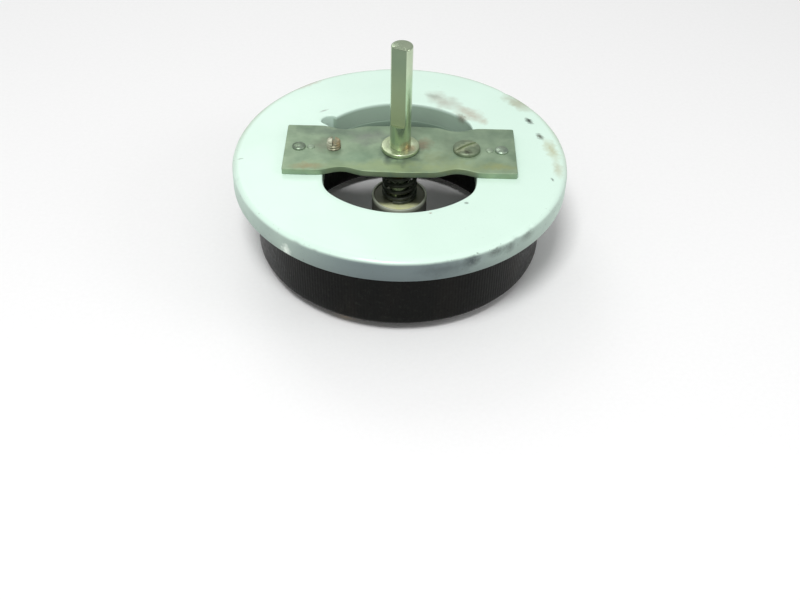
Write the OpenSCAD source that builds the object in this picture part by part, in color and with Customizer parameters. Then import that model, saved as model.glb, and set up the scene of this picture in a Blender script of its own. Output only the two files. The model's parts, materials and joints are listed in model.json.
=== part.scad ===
// Wirewound ring rheostat for panel mounting, with a 3/8 inch shaft.
// Origin: on the shaft's axis, in the front face of the mounting bar, midway between the two panel screws.
// +Z runs along the shaft towards the knob's end, and the bar lies along X.

/* [Base plate] */
// Outside diameter of the glazed ceramic base
base_d = 152.4; // [146:0.1:170]
// Thickness of the base
base_t = 10.3; // [9:0.1:14]
// Radius of the base's front edge
base_edge_r = 3; // [1:0.1:4]
// Diameter of the hole in the base
hole_d = 85.4; // [84:0.1:90]
// Distance between the two flats of the hole
hole_flat_w = 69; // [68:0.1:72]
// Radius of the relief notch in the hole's edge
notch_r = 4; // [2:0.1:6]
// Angle of the relief notch round the shaft
notch_az = 142; // [138:1:146]
// Wall of the lip that centres the core
lip_t = 3; // [2:0.1:4]
// Height of the lip below the base
lip_h = 5; // [3:0.1:8]
// Half width of the lip's two arcs
lip_half_w = 27; // [20:0.5:29]

/* [Core and winding] */
// Outside diameter of the enamelled core
core_d = 133.4; // [130:0.1:140]
// Height of the enamelled core
core_h = 34.2; // [28:0.1:45]
// Clearance between lip and core
lip_gap = 0.8; // [0.3:0.1:1.5]
// Enamel on the core's outer and inner walls
enamel_t = 1.5; // [1:0.1:2]
// Enamel between the winding and the base
bond_t = 2.1; // [1:0.1:3]
// Enamel over the winding beside the brush track
margin_t = 0.55; // [0.4:0.05:1]
// Radius of the enamel's outer rear edge
enamel_edge_r = 2.6; // [1:0.1:3]
// Radius of the enamel's inner rear edge
enamel_inner_edge_r = 1; // [0.5:0.1:1.5]
// Thickness of a turn of resistance wire
wire_t = 0.9; // [0.6:0.05:1.2]
// Width of a turn of resistance wire
wire_w = 1.3; // [0.8:0.05:1.6]
// Number of turns
turns = 128; // [80:1:140]
// Angle that the winding covers
winding_span = 320; // [300:1:326]
// Width of the bare brush track
track_w = 10; // [8.5:0.1:11]
// Angle that the bare brush track covers
track_span = 330; // [328:1:334]

/* [Mounting bar] */
// Length of the mounting bar
bar_l = 104.8; // [102:0.1:112]
// Width of the mounting bar
bar_w = 34.9; // [32:0.1:40]
// Thickness of the mounting bar
bar_t = 3; // [2:0.1:5]
// Depth of the waists beside the bar's middle
waist_depth = 2.7; // [0:0.1:4]
// Distance of the waists from the shaft
waist_x = 26; // [24:0.5:28]
// Half length of a waist
waist_l = 11; // [8:0.5:12]
// Fullness of the bar's middle on each side
middle_bulge = 0.7; // [0:0.1:1.5]
// Distance between the two panel screws
panel_spacing = 60.3; // [58:0.1:61]
// Diameter of the panel screws' thread
panel_thread_d = 6.35; // [5:0.05:6.5]
// Distance from the bar's end to a rivet
rivet_inset = 6.4; // [5:0.1:7]
// Diameter of a rivet's shank
rivet_d = 3.8; // [3:0.1:4.5]
// Diameter of a rivet's domed head
rivet_head_d = 6.2; // [5:0.1:6.8]
// Height of a rivet's domed head
rivet_head_h = 1.3; // [0.8:0.1:2]
// Distance from a rivet to the locating pin beside it
pin_step = 5.4; // [5.2:0.1:6]
// Diameter of a locating pin
pin_d = 3.6; // [3:0.1:3.8]

/* [Panel screws] */
// How far the slotted stud stands in front of the bar
stud_h = 4; // [2:0.1:8]
// Slot of the stud
stud_slot_w = 1.2; // [0.8:0.1:2]
// Depth of the stud's slot
stud_slot_depth = 1.8; // [1:0.1:3]
// Diameter of the screw's binding head
head_d = 12.4; // [9:0.1:13]
// Height of the screw's binding head
head_h = 2.6; // [2:0.1:4]
// Width of the slot in the screw's head
head_slot_w = 1.5; // [1:0.1:2]
// Depth of the slot in the screw's head
head_slot_depth = 1.2; // [0.8:0.1:1.4]
// Angle of the slot in the screw's head
head_slot_az = 36; // [0:1:180]
// Length of both threads behind the bar's front face
thread_l = 12; // [8:0.5:16]

/* [Shaft] */
// Diameter of the shaft
shaft_d = 9.525; // [9:0.005:10]
// Length of the shaft in front of the bar
shaft_l = 52.6; // [40:0.1:70]
// Length of the flat from the shaft's tip
flat_l = 38.7; // [20:0.1:39]
// Diameter of the shaft between its shoulder and the flat
shank_d = 9.5; // [9:0.05:9.5]
// Depth of the flat
flat_depth = 1.38; // [0.5:0.01:1.4]
// Diameter of the shaft's journal, from its shoulder in front of the collar to its rear end
journal_d = 9.2; // [8.5:0.05:9.4]
// Chamfer at the shaft's tip
tip_chamfer = 0.6; // [0.2:0.1:1.5]
// Diameter of the retaining collar
collar_d = 17.2; // [14:0.1:19]
// Thickness of the retaining collar
collar_t = 1.8; // [1:0.1:3]
// Gap between collar and bar
collar_gap = 0.3; // [0.1:0.1:1]

/* [Bushing and stop] */
// Diameter of the bushing where it sits in the bar
bushing_d = 13.2; // [12.4:0.1:14]
// Diameter of the bushing's flange
flange_d = 19; // [17:0.1:21]
// Thickness of the bushing's flange
flange_t = 1.6; // [1:0.1:2.5]
// Diameter of the bushing's neck inside the spring
neck_d = 12.4; // [11:0.1:12.6]
// Length of the bushing's neck
neck_l = 6.8; // [4:0.1:10]
// Thickness of the stop strap's pad
strap_t = 1.6; // [1:0.1:2.5]
// Width of the stop strap
strap_w = 5; // [4:0.1:5.6]
// Distance from the shaft's axis to the stop strap's leg
strap_r = 15.75; // [15:0.05:17]
// Thickness of the stop strap's leg
strap_leg_t = 2.5; // [1.5:0.1:3]
// Angle that the arm turns from stop to stop
travel = 320; // [300:1:320]
// Clearance between dog and strap at the ends of the travel
stop_gap = 0.1; // [0.05:0.01:0.3]

/* [Hub and spring] */
// Diameter of the hub
hub_d = 25.8; // [25:0.1:27]
// Diameter of the hub's rear neck
hub_neck_d = 21.8; // [20:0.1:22]
// Depth of the hub's front rim behind the bar's front face
rim_depth = 25.5; // [22:0.1:28]
// Wall of the rim round the spring's seat
rim_t = 1; // [0.6:0.1:1.4]
// Height of the rim above the seat's front face
rim_h = 0.7; // [0.2:0.1:2]
// Thickness of the spring's seat
seat_t = 1.2; // [0.8:0.1:2]
// Mean diameter of the compression spring
spring_d = 14.6; // [14.4:0.1:15.4]
// Diameter of the spring's wire
spring_wire_d = 1.7; // [1.2:0.1:1.8]
// Turns of the spring
spring_turns = 6; // [5:1:7]
// Height of the hub's stop dog
dog_h = 4; // [3:0.1:6]
// Depth of the stop dog behind the hub's rim
dog_depth = 7; // [4:0.1:9]
// Diameter of the cross pin through hub and shaft
hub_pin_d = 3.2; // [2:0.1:4]
// Depth of the cross pin behind the hub's rim
hub_pin_depth = 16; // [13.5:0.1:18]

/* [Contact arm] */
// Gap between the core's rear face and the arm
arm_gap = 1.4; // [1.3:0.1:2.5]
// Thickness of the contact arm
arm_t = 0.9; // [0.6:0.1:1.5]
// Width of the arm at the hub
arm_root_w = 17; // [12:0.5:20]
// Width of the arm at the brush
arm_tip_w = 10.4; // [8:0.1:12]
// Diameter of the slip ring and of the arm's eye
slip_d = 34; // [33:0.1:35]
// Thickness of the slip ring
slip_t = 2; // [1:0.1:3]
// Diameter of the brush
brush_d = 6.8; // [5:0.1:7.2]
// Wall of the brush holder
holder_t = 0.95; // [0.6:0.05:1.2]
// Thickness of the holder's rear wall
holder_end_t = 0.6; // [0.4:0.1:1]
// How far the holder reaches behind the arm
holder_h = 1.7; // [1.6:0.1:1.9]
// Width of the holder's flange round its cup
holder_flange_w = 1; // [0.6:0.1:1.3]
// How far the hub's foot stands behind the arm
foot_h = 2.2; // [2:0.1:4]
// Thickness of the retaining ring
retainer_t = 1; // [0.8:0.1:1.2]
// Diameter of the retaining ring
retainer_d = 26.8; // [25:0.1:27]
// Depth of the retaining ring's groove
groove_depth = 0.6; // [0.3:0.1:1]
// Shank of the arm's rivets
arm_rivet_d = 2.2; // [1.6:0.1:2.4]
// Head of the arm's rivets
arm_rivet_head_d = 3.2; // [2.8:0.1:3.4]
// Height of the heads of the arm's rivets
arm_rivet_head_h = 0.8; // [0.4:0.1:1.2]
// Distance from the slip ring's edge to its rivets
arm_rivet_inset = 1.8; // [1.5:0.1:2]
// Distance from the shaft's axis to the pigtail's rivet
pigtail_rivet_x = 21; // [19:0.5:21]

/* [Terminals] */
// Width of the terminals
terminal_w = 9.5; // [8:0.1:12]
// Thickness of the terminals
terminal_t = 1; // [0.6:0.1:1.3]
// Angle between the centre terminal and each end terminal
terminal_step = 22; // [18:1:26]
// Depth of the terminals' lugs below the base
lug_depth = 10.7; // [9:0.1:14]
// Length of the terminals' lugs from the core's wall
lug_l = 9.25; // [9:0.05:10]
// Diameter of the terminal screws
terminal_screw_d = 3.5; // [2.5:0.1:4]
// Diameter of the terminal screws' heads
terminal_head_d = 6.8; // [5:0.1:7]
// Height of the terminal screws' heads
terminal_head_h = 2.2; // [1.5:0.1:3]
// Length of the terminal screws behind their heads
terminal_screw_l = 9; // [7:0.1:9.5]
// Width of the terminal nuts across their flats
nut_w = 7.9; // [6:0.1:8.2]
// Thickness of the terminal nuts
nut_t = 3; // [2:0.1:4]
// Thickness of the washers under the nuts
washer_t = 0.7; // [0.4:0.1:1]
// Length of the foot under each end terminal
terminal_foot_l = 4; // [2:0.1:4]
// Clearance between the centre terminal's tongue and the slip ring
tongue_gap = 0.2; // [0.1:0.05:0.4]

/* [Hidden] */
$fn = 96;

cut = 1;             // how far a cut runs past the faces that it opens
fit = 0.02;          // clearance of pieces pressed or seated in one another
run = 0.04;          // radial clearance of the shaft in its bushing
seat_gap = 0.1;      // clearance between a turning face and its fixed seat
wire_gap = 0.05;     // clearance round each turn of wire
touch_gap = 0.15;    // clearance between the brush and the bare wire
lug_hole_gap = 0.2;  // clearance of a terminal screw in its lug
rivet_pocket = 2.4;      // depth of the pockets for the rivets' rear heads
rivet_pocket_gap = 0.8;  // clearance round a rivet's rear head
rivet_tail_h = 1.8;      // thickness of a rivet's rear head
pin_seat = 6;            // how deep a locating pin sits in the base
pin_front = 0.4;         // how far a locating pin stands in front of the bar
strap_pad_margin = 1;    // how far the stop strap's pad reaches past the bushing's flange
tongue_tip_gap = 0.4;    // clearance between the centre terminal's tip and the hub
riser_gap = 3;           // clearance between the slip ring and the centre terminal's riser
hub_pin_inset = 0.3;     // how far the cross pin's ends lie below the hub's surface
shaft_inset = 1;         // how far the shaft's rear end lies inside the hub
foot_chamfer = 0.4;      // chamfer of the hub's foot
holder_flange_t = 0.6;   // thickness of the brush holder's flange
washer_margin = 0.1;     // how far a washer reaches past its nut's flats
retainer_mouth = 40;     // angle of the retaining ring's opening
winding_margin = 1;      // angle between the winding's end turns and the end of their channel

rest_az = 248;       // direction of the arm and of the shaft's flat at rest
dead_az = 90;        // middle of the dead sector between the winding's ends

base_front = -bar_t;
base_rear = base_front - base_t;
base_r = base_d / 2;
hole_r = hole_d / 2;

enamel_rear = base_rear - core_h;
enamel_out = core_d / 2;
enamel_in = hole_r + lip_t + lip_gap;
wire_out = enamel_out - enamel_t - wire_gap;
wire_in = enamel_in + enamel_t + wire_gap;
wire_front = base_rear - bond_t - wire_gap;
wire_rear = enamel_rear + margin_t + wire_gap;
core_out = wire_out - wire_t - wire_gap;
core_in = wire_in + wire_t + wire_gap;
core_front = wire_front - wire_t - wire_gap;
core_rear = wire_rear + wire_t + wire_gap;
track_r = (core_in + core_out) / 2;
wire_step = winding_span / (turns - 1);

rivet_x = bar_l / 2 - rivet_inset;
pin_x = rivet_x - pin_step;
pin_rear = base_front - pin_seat;
panel_x = panel_spacing / 2;
panel_r = panel_thread_d / 2;

shaft_r = shaft_d / 2;
journal_r = journal_d / 2;
bore_r = journal_r + fit;
shoulder = collar_gap + collar_t;
strap_rear = -bar_t - strap_t;
flange_rear = strap_rear - flange_t;
rim_front = -rim_depth;
seat_front = rim_front - rim_h;
seat_rear = seat_front - seat_t;
spring_l = flange_rear - seat_gap - seat_front;
dog_front = rim_front - dog_depth;
dog_rear = dog_front - dog_h;
strap_end = strap_r + strap_leg_t;
stop_angle = (360 - travel) / 2;
dog_half_w = strap_r * sin(stop_angle) - strap_w / 2 * cos(stop_angle) - stop_gap;

arm_front = enamel_rear - arm_gap;
arm_rear = arm_front - arm_t;
slip_front = arm_front + slip_t;
hub_rear = arm_rear - foot_h;
hub_r = hub_d / 2;
hub_neck_r = hub_neck_d / 2;
shaft_rear = hub_rear + shaft_inset;
slip_r = slip_d / 2;
brush_front = wire_rear - touch_gap;
brush_rear = arm_rear - holder_h + holder_end_t;
holder_r = brush_d / 2 + fit + holder_t;
arm_rivet_r = slip_r - arm_rivet_inset;

wall_x = enamel_out + wire_gap;
terminal_front = enamel_rear;
lug_rear = base_rear - lug_depth - terminal_t;
lug_front = lug_rear + terminal_t;
lug_tip = wall_x + lug_l;
lug_hole_x = lug_tip - nut_w / 2;
terminal_angles = [dead_az - terminal_step, dead_az, dead_az + terminal_step];

// The pigtail's route beside the arm, from the brush holder to its rivet, in the arm's own frame
pigtail_r = 0.6;
pigtail_clear = 0.1;
pigtail_side = [[0, 0], [0.1, 0.6], [0.25, 2.4], [0.45, 3.6], [0.65, 3.4], [0.85, 1.5], [0.95, 0.4], [1, 0]];

// ---- shapes ----

module ring(r_in, r_out, rear, front, span = 360, start = 0) {
    rotate([0, 0, start])
        rotate_extrude(angle = span)
            translate([r_in, rear])
                square([r_out - r_in, front - rear]);
}

module rod(r, rear, front) {
    translate([0, 0, rear])
        cylinder(r = r, h = front - rear);
}

module block(low, high) {
    translate(low)
        cube(high - low);
}

module dome(r, h, base_z) {
    ball_r = (r * r + h * h) / (2 * h);
    intersection() {
        translate([0, 0, base_z + h - ball_r])
            sphere(r = ball_r);
        rod(r, base_z, base_z + h + cut);
    }
}

module both_sides(x) {
    for (side = [-1, 1])
        translate([side * x, 0, 0])
            children();
}

// Everything that turns with the shaft is drawn along +X and turned to its rest direction.
module turned() {
    rotate([0, 0, rest_az])
        children();
}

// ---- fixed side ----

module base_outline() {
    difference() {
        translate([0, base_rear])
            square([base_r, base_t]);
        translate([base_r - base_edge_r, base_front - base_edge_r])
            difference() {
                square(base_edge_r + cut);
                circle(r = base_edge_r);
            }
    }
}

module double_d_hole() {
    intersection() {
        rod(hole_r, base_rear - lip_h - cut, base_front + cut);
        block(
            [-hole_flat_w / 2, -hole_d, base_rear - lip_h - 2 * cut],
            [hole_flat_w / 2, hole_d, base_front + 2 * cut]
        );
    }
}

module base_plate() {
    color("honeydew")
        difference() {
            union() {
                rotate_extrude()
                    base_outline();
                rod(hole_r + lip_t, base_rear - lip_h, base_rear + cut);
            }
            double_d_hole();
            rotate([0, 0, notch_az])
                translate([hole_r, 0, 0])
                    rod(notch_r, base_rear - lip_h - cut, base_front + cut);
            for (side = [0, 180])
                rotate([0, 0, side])
                    block(
                        [lip_half_w, -base_r, base_rear - lip_h - cut],
                        [base_r, base_r, base_rear]
                    );
            both_sides(rivet_x) {
                rod(rivet_d / 2 + fit, base_rear - cut, base_front + cut);
                rod(rivet_head_d / 2 + rivet_pocket_gap, base_rear - cut, base_rear + rivet_pocket);
            }
            both_sides(pin_x)
                rod(pin_d / 2 + fit, pin_rear - cut, base_front + cut);
        }
}

module core_ring() {
    color("antiquewhite")
        ring(core_in, core_out, core_rear, core_front);
}

// One turn: a closed loop of flat wire round the core's section
module wire_turn() {
    rotate([90, 0, 0])
        linear_extrude(wire_w, center = true)
            difference() {
                translate([wire_in, wire_rear])
                    square([wire_out - wire_in - wire_gap, wire_front - wire_rear]);
                translate([core_in - wire_gap, core_rear - wire_gap])
                    square([core_out - core_in + 2 * wire_gap, core_front - core_rear + 2 * wire_gap]);
            }
}

module resistance_winding() {
    color("slategray")
        for (i = [0 : turns - 1])
            rotate([0, 0, dead_az + (360 - winding_span) / 2 + i * wire_step])
                wire_turn();
}

module enamel_outline() {
    difference() {
        translate([enamel_in, enamel_rear])
            square([enamel_out - enamel_in, core_h]);
        translate([enamel_out - enamel_edge_r, enamel_rear + enamel_edge_r])
            difference() {
                translate([0, -enamel_edge_r - cut])
                    square(enamel_edge_r + cut);
                circle(r = enamel_edge_r);
            }
        translate([enamel_in + enamel_inner_edge_r, enamel_rear + enamel_inner_edge_r])
            difference() {
                translate([-enamel_inner_edge_r - cut, -enamel_inner_edge_r - cut])
                    square(enamel_inner_edge_r + cut);
                circle(r = enamel_inner_edge_r);
            }
    }
}

module enamel_coat() {
    wound = winding_span + 2 * winding_margin;
    color("black")
        difference() {
            rotate_extrude()
                enamel_outline();
            ring(core_in - wire_gap, core_out + wire_gap, core_rear - wire_gap, core_front + wire_gap);
            ring(
                wire_in - wire_gap, wire_out + wire_gap, wire_rear - wire_gap, wire_front + wire_gap,
                wound, dead_az + (360 - wound) / 2
            );
            ring(
                track_r - track_w / 2, track_r + track_w / 2, enamel_rear - cut, core_rear,
                track_span, dead_az + (360 - track_span) / 2
            );
        }
}

// Half the bar's width at x: a waist on each side of a slightly full middle
function waist(x) = abs(abs(x) - waist_x) < waist_l ? (1 + cos(180 * (abs(x) - waist_x) / waist_l)) / 2 : 0;
function bulge(x) = abs(x) < waist_x ? (1 + cos(180 * x / waist_x)) / 2 : 0;
function bar_half(x) = bar_w / 2 - waist_depth * waist(x) + middle_bulge * bulge(x);

module bar_outline() {
    shaped = waist_x + waist_l;
    steps = 36;
    xs = [for (i = [0 : steps]) -shaped + i * 2 * shaped / steps];
    polygon(concat(
        [[-bar_l / 2, -bar_w / 2]],
        [for (x = xs) [x, -bar_half(x)]],
        [[bar_l / 2, -bar_w / 2], [bar_l / 2, bar_w / 2]],
        [for (x = xs) [-x, bar_half(x)]],
        [[-bar_l / 2, bar_w / 2]]
    ));
}

module mounting_bar() {
    color("darkgray")
        difference() {
            translate([0, 0, -bar_t])
                linear_extrude(bar_t)
                    bar_outline();
            rod(bushing_d / 2 + fit, -bar_t - cut, cut);
            both_sides(panel_x)
                rod(panel_r, -bar_t - cut, cut);
            both_sides(rivet_x)
                rod(rivet_d / 2 + fit, -bar_t - cut, cut);
            both_sides(pin_x)
                rod(pin_d / 2 + fit, -bar_t - cut, cut);
        }
}

module bar_rivets() {
    color("silver")
        both_sides(rivet_x) {
            dome(rivet_head_d / 2, rivet_head_h, 0);
            rod(rivet_d / 2, base_rear + rivet_pocket - rivet_tail_h, rivet_head_h / 2);
            rod(rivet_head_d / 2, base_rear + rivet_pocket - rivet_tail_h, base_rear + rivet_pocket);
        }
}

module locating_pins() {
    color("gray")
        both_sides(pin_x)
            rod(pin_d / 2, pin_rear, pin_front);
}

module slotted_stud() {
    color("tan")
        translate([-panel_x, 0, 0])
            difference() {
                rod(panel_r - fit, -thread_l, stud_h);
                block(
                    [-stud_slot_w / 2, -panel_r - cut, stud_h - stud_slot_depth],
                    [stud_slot_w / 2, panel_r + cut, stud_h + cut]
                );
            }
}

module binding_head_screw() {
    brim = head_h * 0.4;
    color("darkgray")
        translate([panel_x, 0, 0])
            difference() {
                union() {
                    rod(head_d / 2, 0, brim);
                    dome(head_d / 2, head_h - brim, brim);
                    rod(panel_r - fit, -thread_l, brim);
                }
                rotate([0, 0, head_slot_az])
                    block(
                        [-head_d, -head_slot_w / 2, head_h - head_slot_depth],
                        [head_d, head_slot_w / 2, head_h + cut]
                    );
            }
}

module shaft_bushing() {
    color("goldenrod")
        difference() {
            union() {
                rod(bushing_d / 2, flange_rear, 0);
                rod(flange_d / 2, flange_rear, strap_rear);
                rod(neck_d / 2, flange_rear - neck_l, flange_rear + flange_t / 2);
            }
            rod(journal_r + run, flange_rear - neck_l - cut, cut);
        }
}

module stop_strap() {
    pad_r = flange_d / 2 + strap_pad_margin;
    color("darkgray")
        difference() {
            union() {
                rod(pad_r, strap_rear, -bar_t);
                rotate([0, 0, dead_az]) {
                    block([0, -strap_w / 2, strap_rear], [strap_end, strap_w / 2, -bar_t]);
                    block([strap_r, -strap_w / 2, dog_rear], [strap_end, strap_w / 2, -bar_t]);
                }
            }
            rod(bushing_d / 2 + fit, strap_rear - cut, -bar_t + cut);
        }
}

// A terminal drawn along +X: the leg up the core's wall and the lug with its screw hole
module terminal_lug() {
    difference() {
        union() {
            block(
                [wall_x, -terminal_w / 2, terminal_front - terminal_t],
                [wall_x + terminal_t, terminal_w / 2, lug_front]
            );
            block([wall_x, -terminal_w / 2, lug_rear], [lug_tip, terminal_w / 2, lug_front]);
        }
        translate([lug_hole_x, 0, 0])
            rod(terminal_screw_d / 2 + lug_hole_gap, lug_rear - cut, lug_front + cut);
    }
}

module end_terminal(az) {
    color("silver")
        rotate([0, 0, az])
            union() {
                terminal_lug();
                block(
                    [wall_x - terminal_foot_l, -terminal_w / 2, terminal_front - terminal_t],
                    [wall_x + terminal_t, terminal_w / 2, terminal_front]
                );
            }
}

module end_terminal_left() {
    end_terminal(dead_az + terminal_step);
}

module end_terminal_right() {
    end_terminal(dead_az - terminal_step);
}

// A strip across the dead sector, joggled forward to bear on the slip ring
module centre_terminal() {
    tongue_rear = slip_front + tongue_gap;
    tongue_tip = hub_r + tongue_tip_gap;
    riser_x = slip_r + riser_gap;
    color("silver")
        rotate([0, 0, dead_az])
            union() {
                terminal_lug();
                block(
                    [riser_x, -terminal_w / 2, terminal_front - terminal_t],
                    [wall_x + terminal_t, terminal_w / 2, terminal_front]
                );
                block(
                    [riser_x, -terminal_w / 2, terminal_front - terminal_t],
                    [riser_x + terminal_t, terminal_w / 2, tongue_rear + terminal_t]
                );
                block(
                    [tongue_tip, -terminal_w / 2, tongue_rear],
                    [riser_x + terminal_t, terminal_w / 2, tongue_rear + terminal_t]
                );
            }
}

module at_lugs() {
    for (az = terminal_angles)
        rotate([0, 0, az])
            translate([lug_hole_x, 0, 0])
                children();
}

module terminal_screws() {
    color("silver")
        at_lugs() {
            rod(terminal_head_d / 2, lug_rear - terminal_head_h, lug_rear);
            rod(terminal_screw_d / 2, lug_rear - terminal_head_h / 2, lug_rear + terminal_screw_l);
        }
}

module terminal_washers() {
    color("silver")
        at_lugs()
            ring(
                terminal_screw_d / 2 + lug_hole_gap, nut_w / 2 + washer_margin,
                lug_front, lug_front + washer_t
            );
}

module terminal_nuts() {
    hex_r = nut_w / 2 / cos(30);
    color("silver")
        at_lugs()
            difference() {
                translate([0, 0, lug_front + washer_t])
                    rotate([0, 0, 30])
                        cylinder(r = hex_r, h = nut_t, $fn = 6);
                rod(terminal_screw_d / 2 + fit, lug_front, lug_front + washer_t + nut_t + cut);
            }
}

// ---- turning side ----

module shaft() {
    color("lightgray")
        turned()
            difference() {
                union() {
                    rod(journal_r, shaft_rear, shoulder + fit);
                    rod(shank_d / 2, shoulder, shaft_l - flat_l);
                    rod(shaft_r, shaft_l - flat_l, shaft_l - tip_chamfer);
                    translate([0, 0, shaft_l - tip_chamfer])
                        cylinder(r1 = shaft_r, r2 = shaft_r - tip_chamfer, h = tip_chamfer);
                }
                block([shaft_r - flat_depth, -shaft_d, shaft_l - flat_l], [shaft_d, shaft_d, shaft_l + cut]);
                hub_pin_hole();
            }
}

module hub_pin_hole() {
    translate([0, 0, rim_front - hub_pin_depth])
        rotate([90, 0, 0])
            cylinder(r = hub_pin_d / 2 + fit, h = hub_d + 2 * cut, center = true);
}

module hub_pin() {
    color("silver")
        turned()
            translate([0, 0, rim_front - hub_pin_depth])
                rotate([90, 0, 0])
                    cylinder(r = hub_pin_d / 2, h = hub_d - 2 * hub_pin_inset, center = true);
}

module retaining_collar() {
    color("khaki")
        ring(bore_r, collar_d / 2, collar_gap, collar_gap + collar_t);
}

// Height of the spring's wire above its first ring after t turns: close end turns, open turns between
function spring_rise(t) =
    let (close = spring_wire_d + wire_gap)
    let (rise = spring_l - spring_wire_d)
    let (open = (rise - 2 * close) / (spring_turns - 2))
    t < 1 ? t * close : t > spring_turns - 1 ? rise - (spring_turns - t) * close : close + (t - 1) * open;

// A tube round a route: rings of points, joined by quads and closed at both ends
module tube(rings) {
    sides = len(rings[0]);
    last = len(rings) - 1;
    polyhedron(
        points = [for (ring = rings) for (p = ring) p],
        faces = concat(
            [[for (k = [0 : sides - 1]) k]],
            [for (i = [0 : last - 1]) for (k = [0 : sides - 1])
                let (a = i * sides + k, b = i * sides + (k + 1) % sides)
                    [b, a, a + sides, b + sides]],
            [[for (k = [sides - 1 : -1 : 0]) last * sides + k]]
        )
    );
}

module compression_spring() {
    per_turn = 20;
    sides = 8;
    rings = [
        for (i = [0 : spring_turns * per_turn])
            let (az = 360 * i / per_turn, z = seat_front + spring_wire_d / 2 + spring_rise(i / per_turn))
                [for (k = [0 : sides - 1])
                    let (r = spring_d / 2 + spring_wire_d / 2 * cos(360 * k / sides))
                        [r * cos(az), r * sin(az), z + spring_wire_d / 2 * sin(360 * k / sides)]]
    ];
    color("dimgray")
        turned()
            tube(rings);
}

module spring_seat() {
    color("palegoldenrod")
        ring(bore_r, hub_r - rim_t - fit, seat_rear, seat_front);
}

module hub_outline() {
    groove_front = arm_rear - fit;
    groove_rear = groove_front - retainer_t - fit;
    groove_r = hub_neck_r - groove_depth;
    polygon([
        [bore_r, seat_rear], [hub_r - rim_t, seat_rear], [hub_r - rim_t, rim_front], [hub_r, rim_front],
        [hub_r, slip_front], [hub_neck_r, slip_front], [hub_neck_r, groove_front], [groove_r, groove_front],
        [groove_r, groove_rear], [hub_neck_r, groove_rear], [hub_neck_r, hub_rear + foot_chamfer],
        [hub_neck_r - foot_chamfer, hub_rear], [bore_r, hub_rear],
    ]);
}

module hub() {
    color("antiquewhite")
        turned()
            difference() {
                union() {
                    rotate_extrude()
                        hub_outline();
                    block([hub_r - rim_t, -dog_half_w, dog_rear], [strap_end, dog_half_w, dog_front]);
                }
                hub_pin_hole();
            }
}

module arm_rivet_places() {
    for (az = [90, 180, 270])
        rotate([0, 0, az])
            translate([arm_rivet_r, 0, 0])
                children();
}

module slip_ring() {
    color("goldenrod")
        turned()
            difference() {
                ring(hub_neck_r + fit, slip_r, arm_front, slip_front);
                arm_rivet_places()
                    rod(arm_rivet_d / 2 + fit, arm_front - cut, slip_front + cut);
            }
}

module contact_arm() {
    color("silver")
        turned()
            difference() {
                translate([0, 0, arm_rear])
                    linear_extrude(arm_t)
                        union() {
                            circle(r = slip_r);
                            translate([track_r, 0])
                                circle(r = arm_tip_w / 2);
                            polygon([
                                [hub_neck_r, -arm_root_w / 2], [track_r, -arm_tip_w / 2],
                                [track_r, arm_tip_w / 2], [hub_neck_r, arm_root_w / 2],
                            ]);
                        }
                rod(hub_neck_r + fit, arm_rear - cut, arm_front + cut);
                translate([track_r, 0, 0])
                    rod(holder_r + fit, arm_rear - cut, arm_front + cut);
                arm_rivet_places()
                    rod(arm_rivet_d / 2 + fit, arm_rear - cut, arm_front + cut);
                translate([pigtail_rivet_x, 0, 0])
                    rod(arm_rivet_d / 2 + fit, arm_rear - cut, arm_front + cut);
            }
}

module arm_rivet(front) {
    rod(arm_rivet_d / 2, arm_rear - arm_rivet_head_h / 2, front);
    rod(arm_rivet_head_d / 2, arm_rear - arm_rivet_head_h, arm_rear);
}

module arm_rivets() {
    color("peru")
        turned() {
            arm_rivet_places()
                arm_rivet(slip_front);
            translate([pigtail_rivet_x, 0, 0])
                arm_rivet(arm_front);
        }
}

module brush_holder() {
    flange_z = arm_rear - holder_flange_t;
    color("goldenrod")
        turned()
            translate([track_r, 0, 0])
                difference() {
                    union() {
                        rod(holder_r, brush_rear - holder_end_t, arm_front);
                        rod(holder_r + holder_flange_w, flange_z, arm_rear);
                    }
                    rod(brush_d / 2 + fit, brush_rear, arm_front + cut);
                }
}

module contact_brush() {
    color("dimgray")
        turned()
            translate([track_r, 0, 0])
                rod(brush_d / 2, brush_rear, brush_front);
}

module pigtail() {
    start_x = track_r - holder_r - holder_flange_w - pigtail_clear;
    end_x = pigtail_rivet_x + arm_rivet_head_d / 2 + pigtail_clear;
    z = arm_rear - pigtail_clear - pigtail_r;
    sides = 8;
    rings = [
        for (p = pigtail_side)
            [for (k = [0 : sides - 1])
                [
                    start_x + (end_x - start_x) * p[0],
                    p[1] + pigtail_r * cos(360 * k / sides),
                    z + pigtail_r * sin(360 * k / sides)
                ]]
    ];
    color("peru")
        turned()
            tube(rings);
}

module retaining_ring() {
    color("dimgray")
        turned()
            ring(
                hub_neck_r - groove_depth + fit, retainer_d / 2, arm_rear - retainer_t - fit, arm_rear - fit,
                360 - retainer_mouth, 180 + retainer_mouth / 2
            );
}

base_plate();
core_ring();
resistance_winding();
enamel_coat();
mounting_bar();
bar_rivets();
locating_pins();
slotted_stud();
binding_head_screw();
shaft_bushing();
stop_strap();
end_terminal_left();
end_terminal_right();
centre_terminal();
terminal_screws();
terminal_nuts();
terminal_washers();
shaft();
retaining_collar();
compression_spring();
spring_seat();
hub();
hub_pin();
slip_ring();
contact_arm();
arm_rivets();
brush_holder();
contact_brush();
pigtail();
retaining_ring();
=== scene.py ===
"""Looks of a six inch wirewound ring rheostat, put together in the order in which the real one is built.

Lengths are in millimetres until a mesh is made. The height z is 0 in the mounting bar's front face,
and grows towards the shaft's knob end. Every piece has its place in its mesh.
"""

import json
import math

import bmesh
import bpy
import numpy as np
from mathutils import Matrix, Vector


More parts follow.
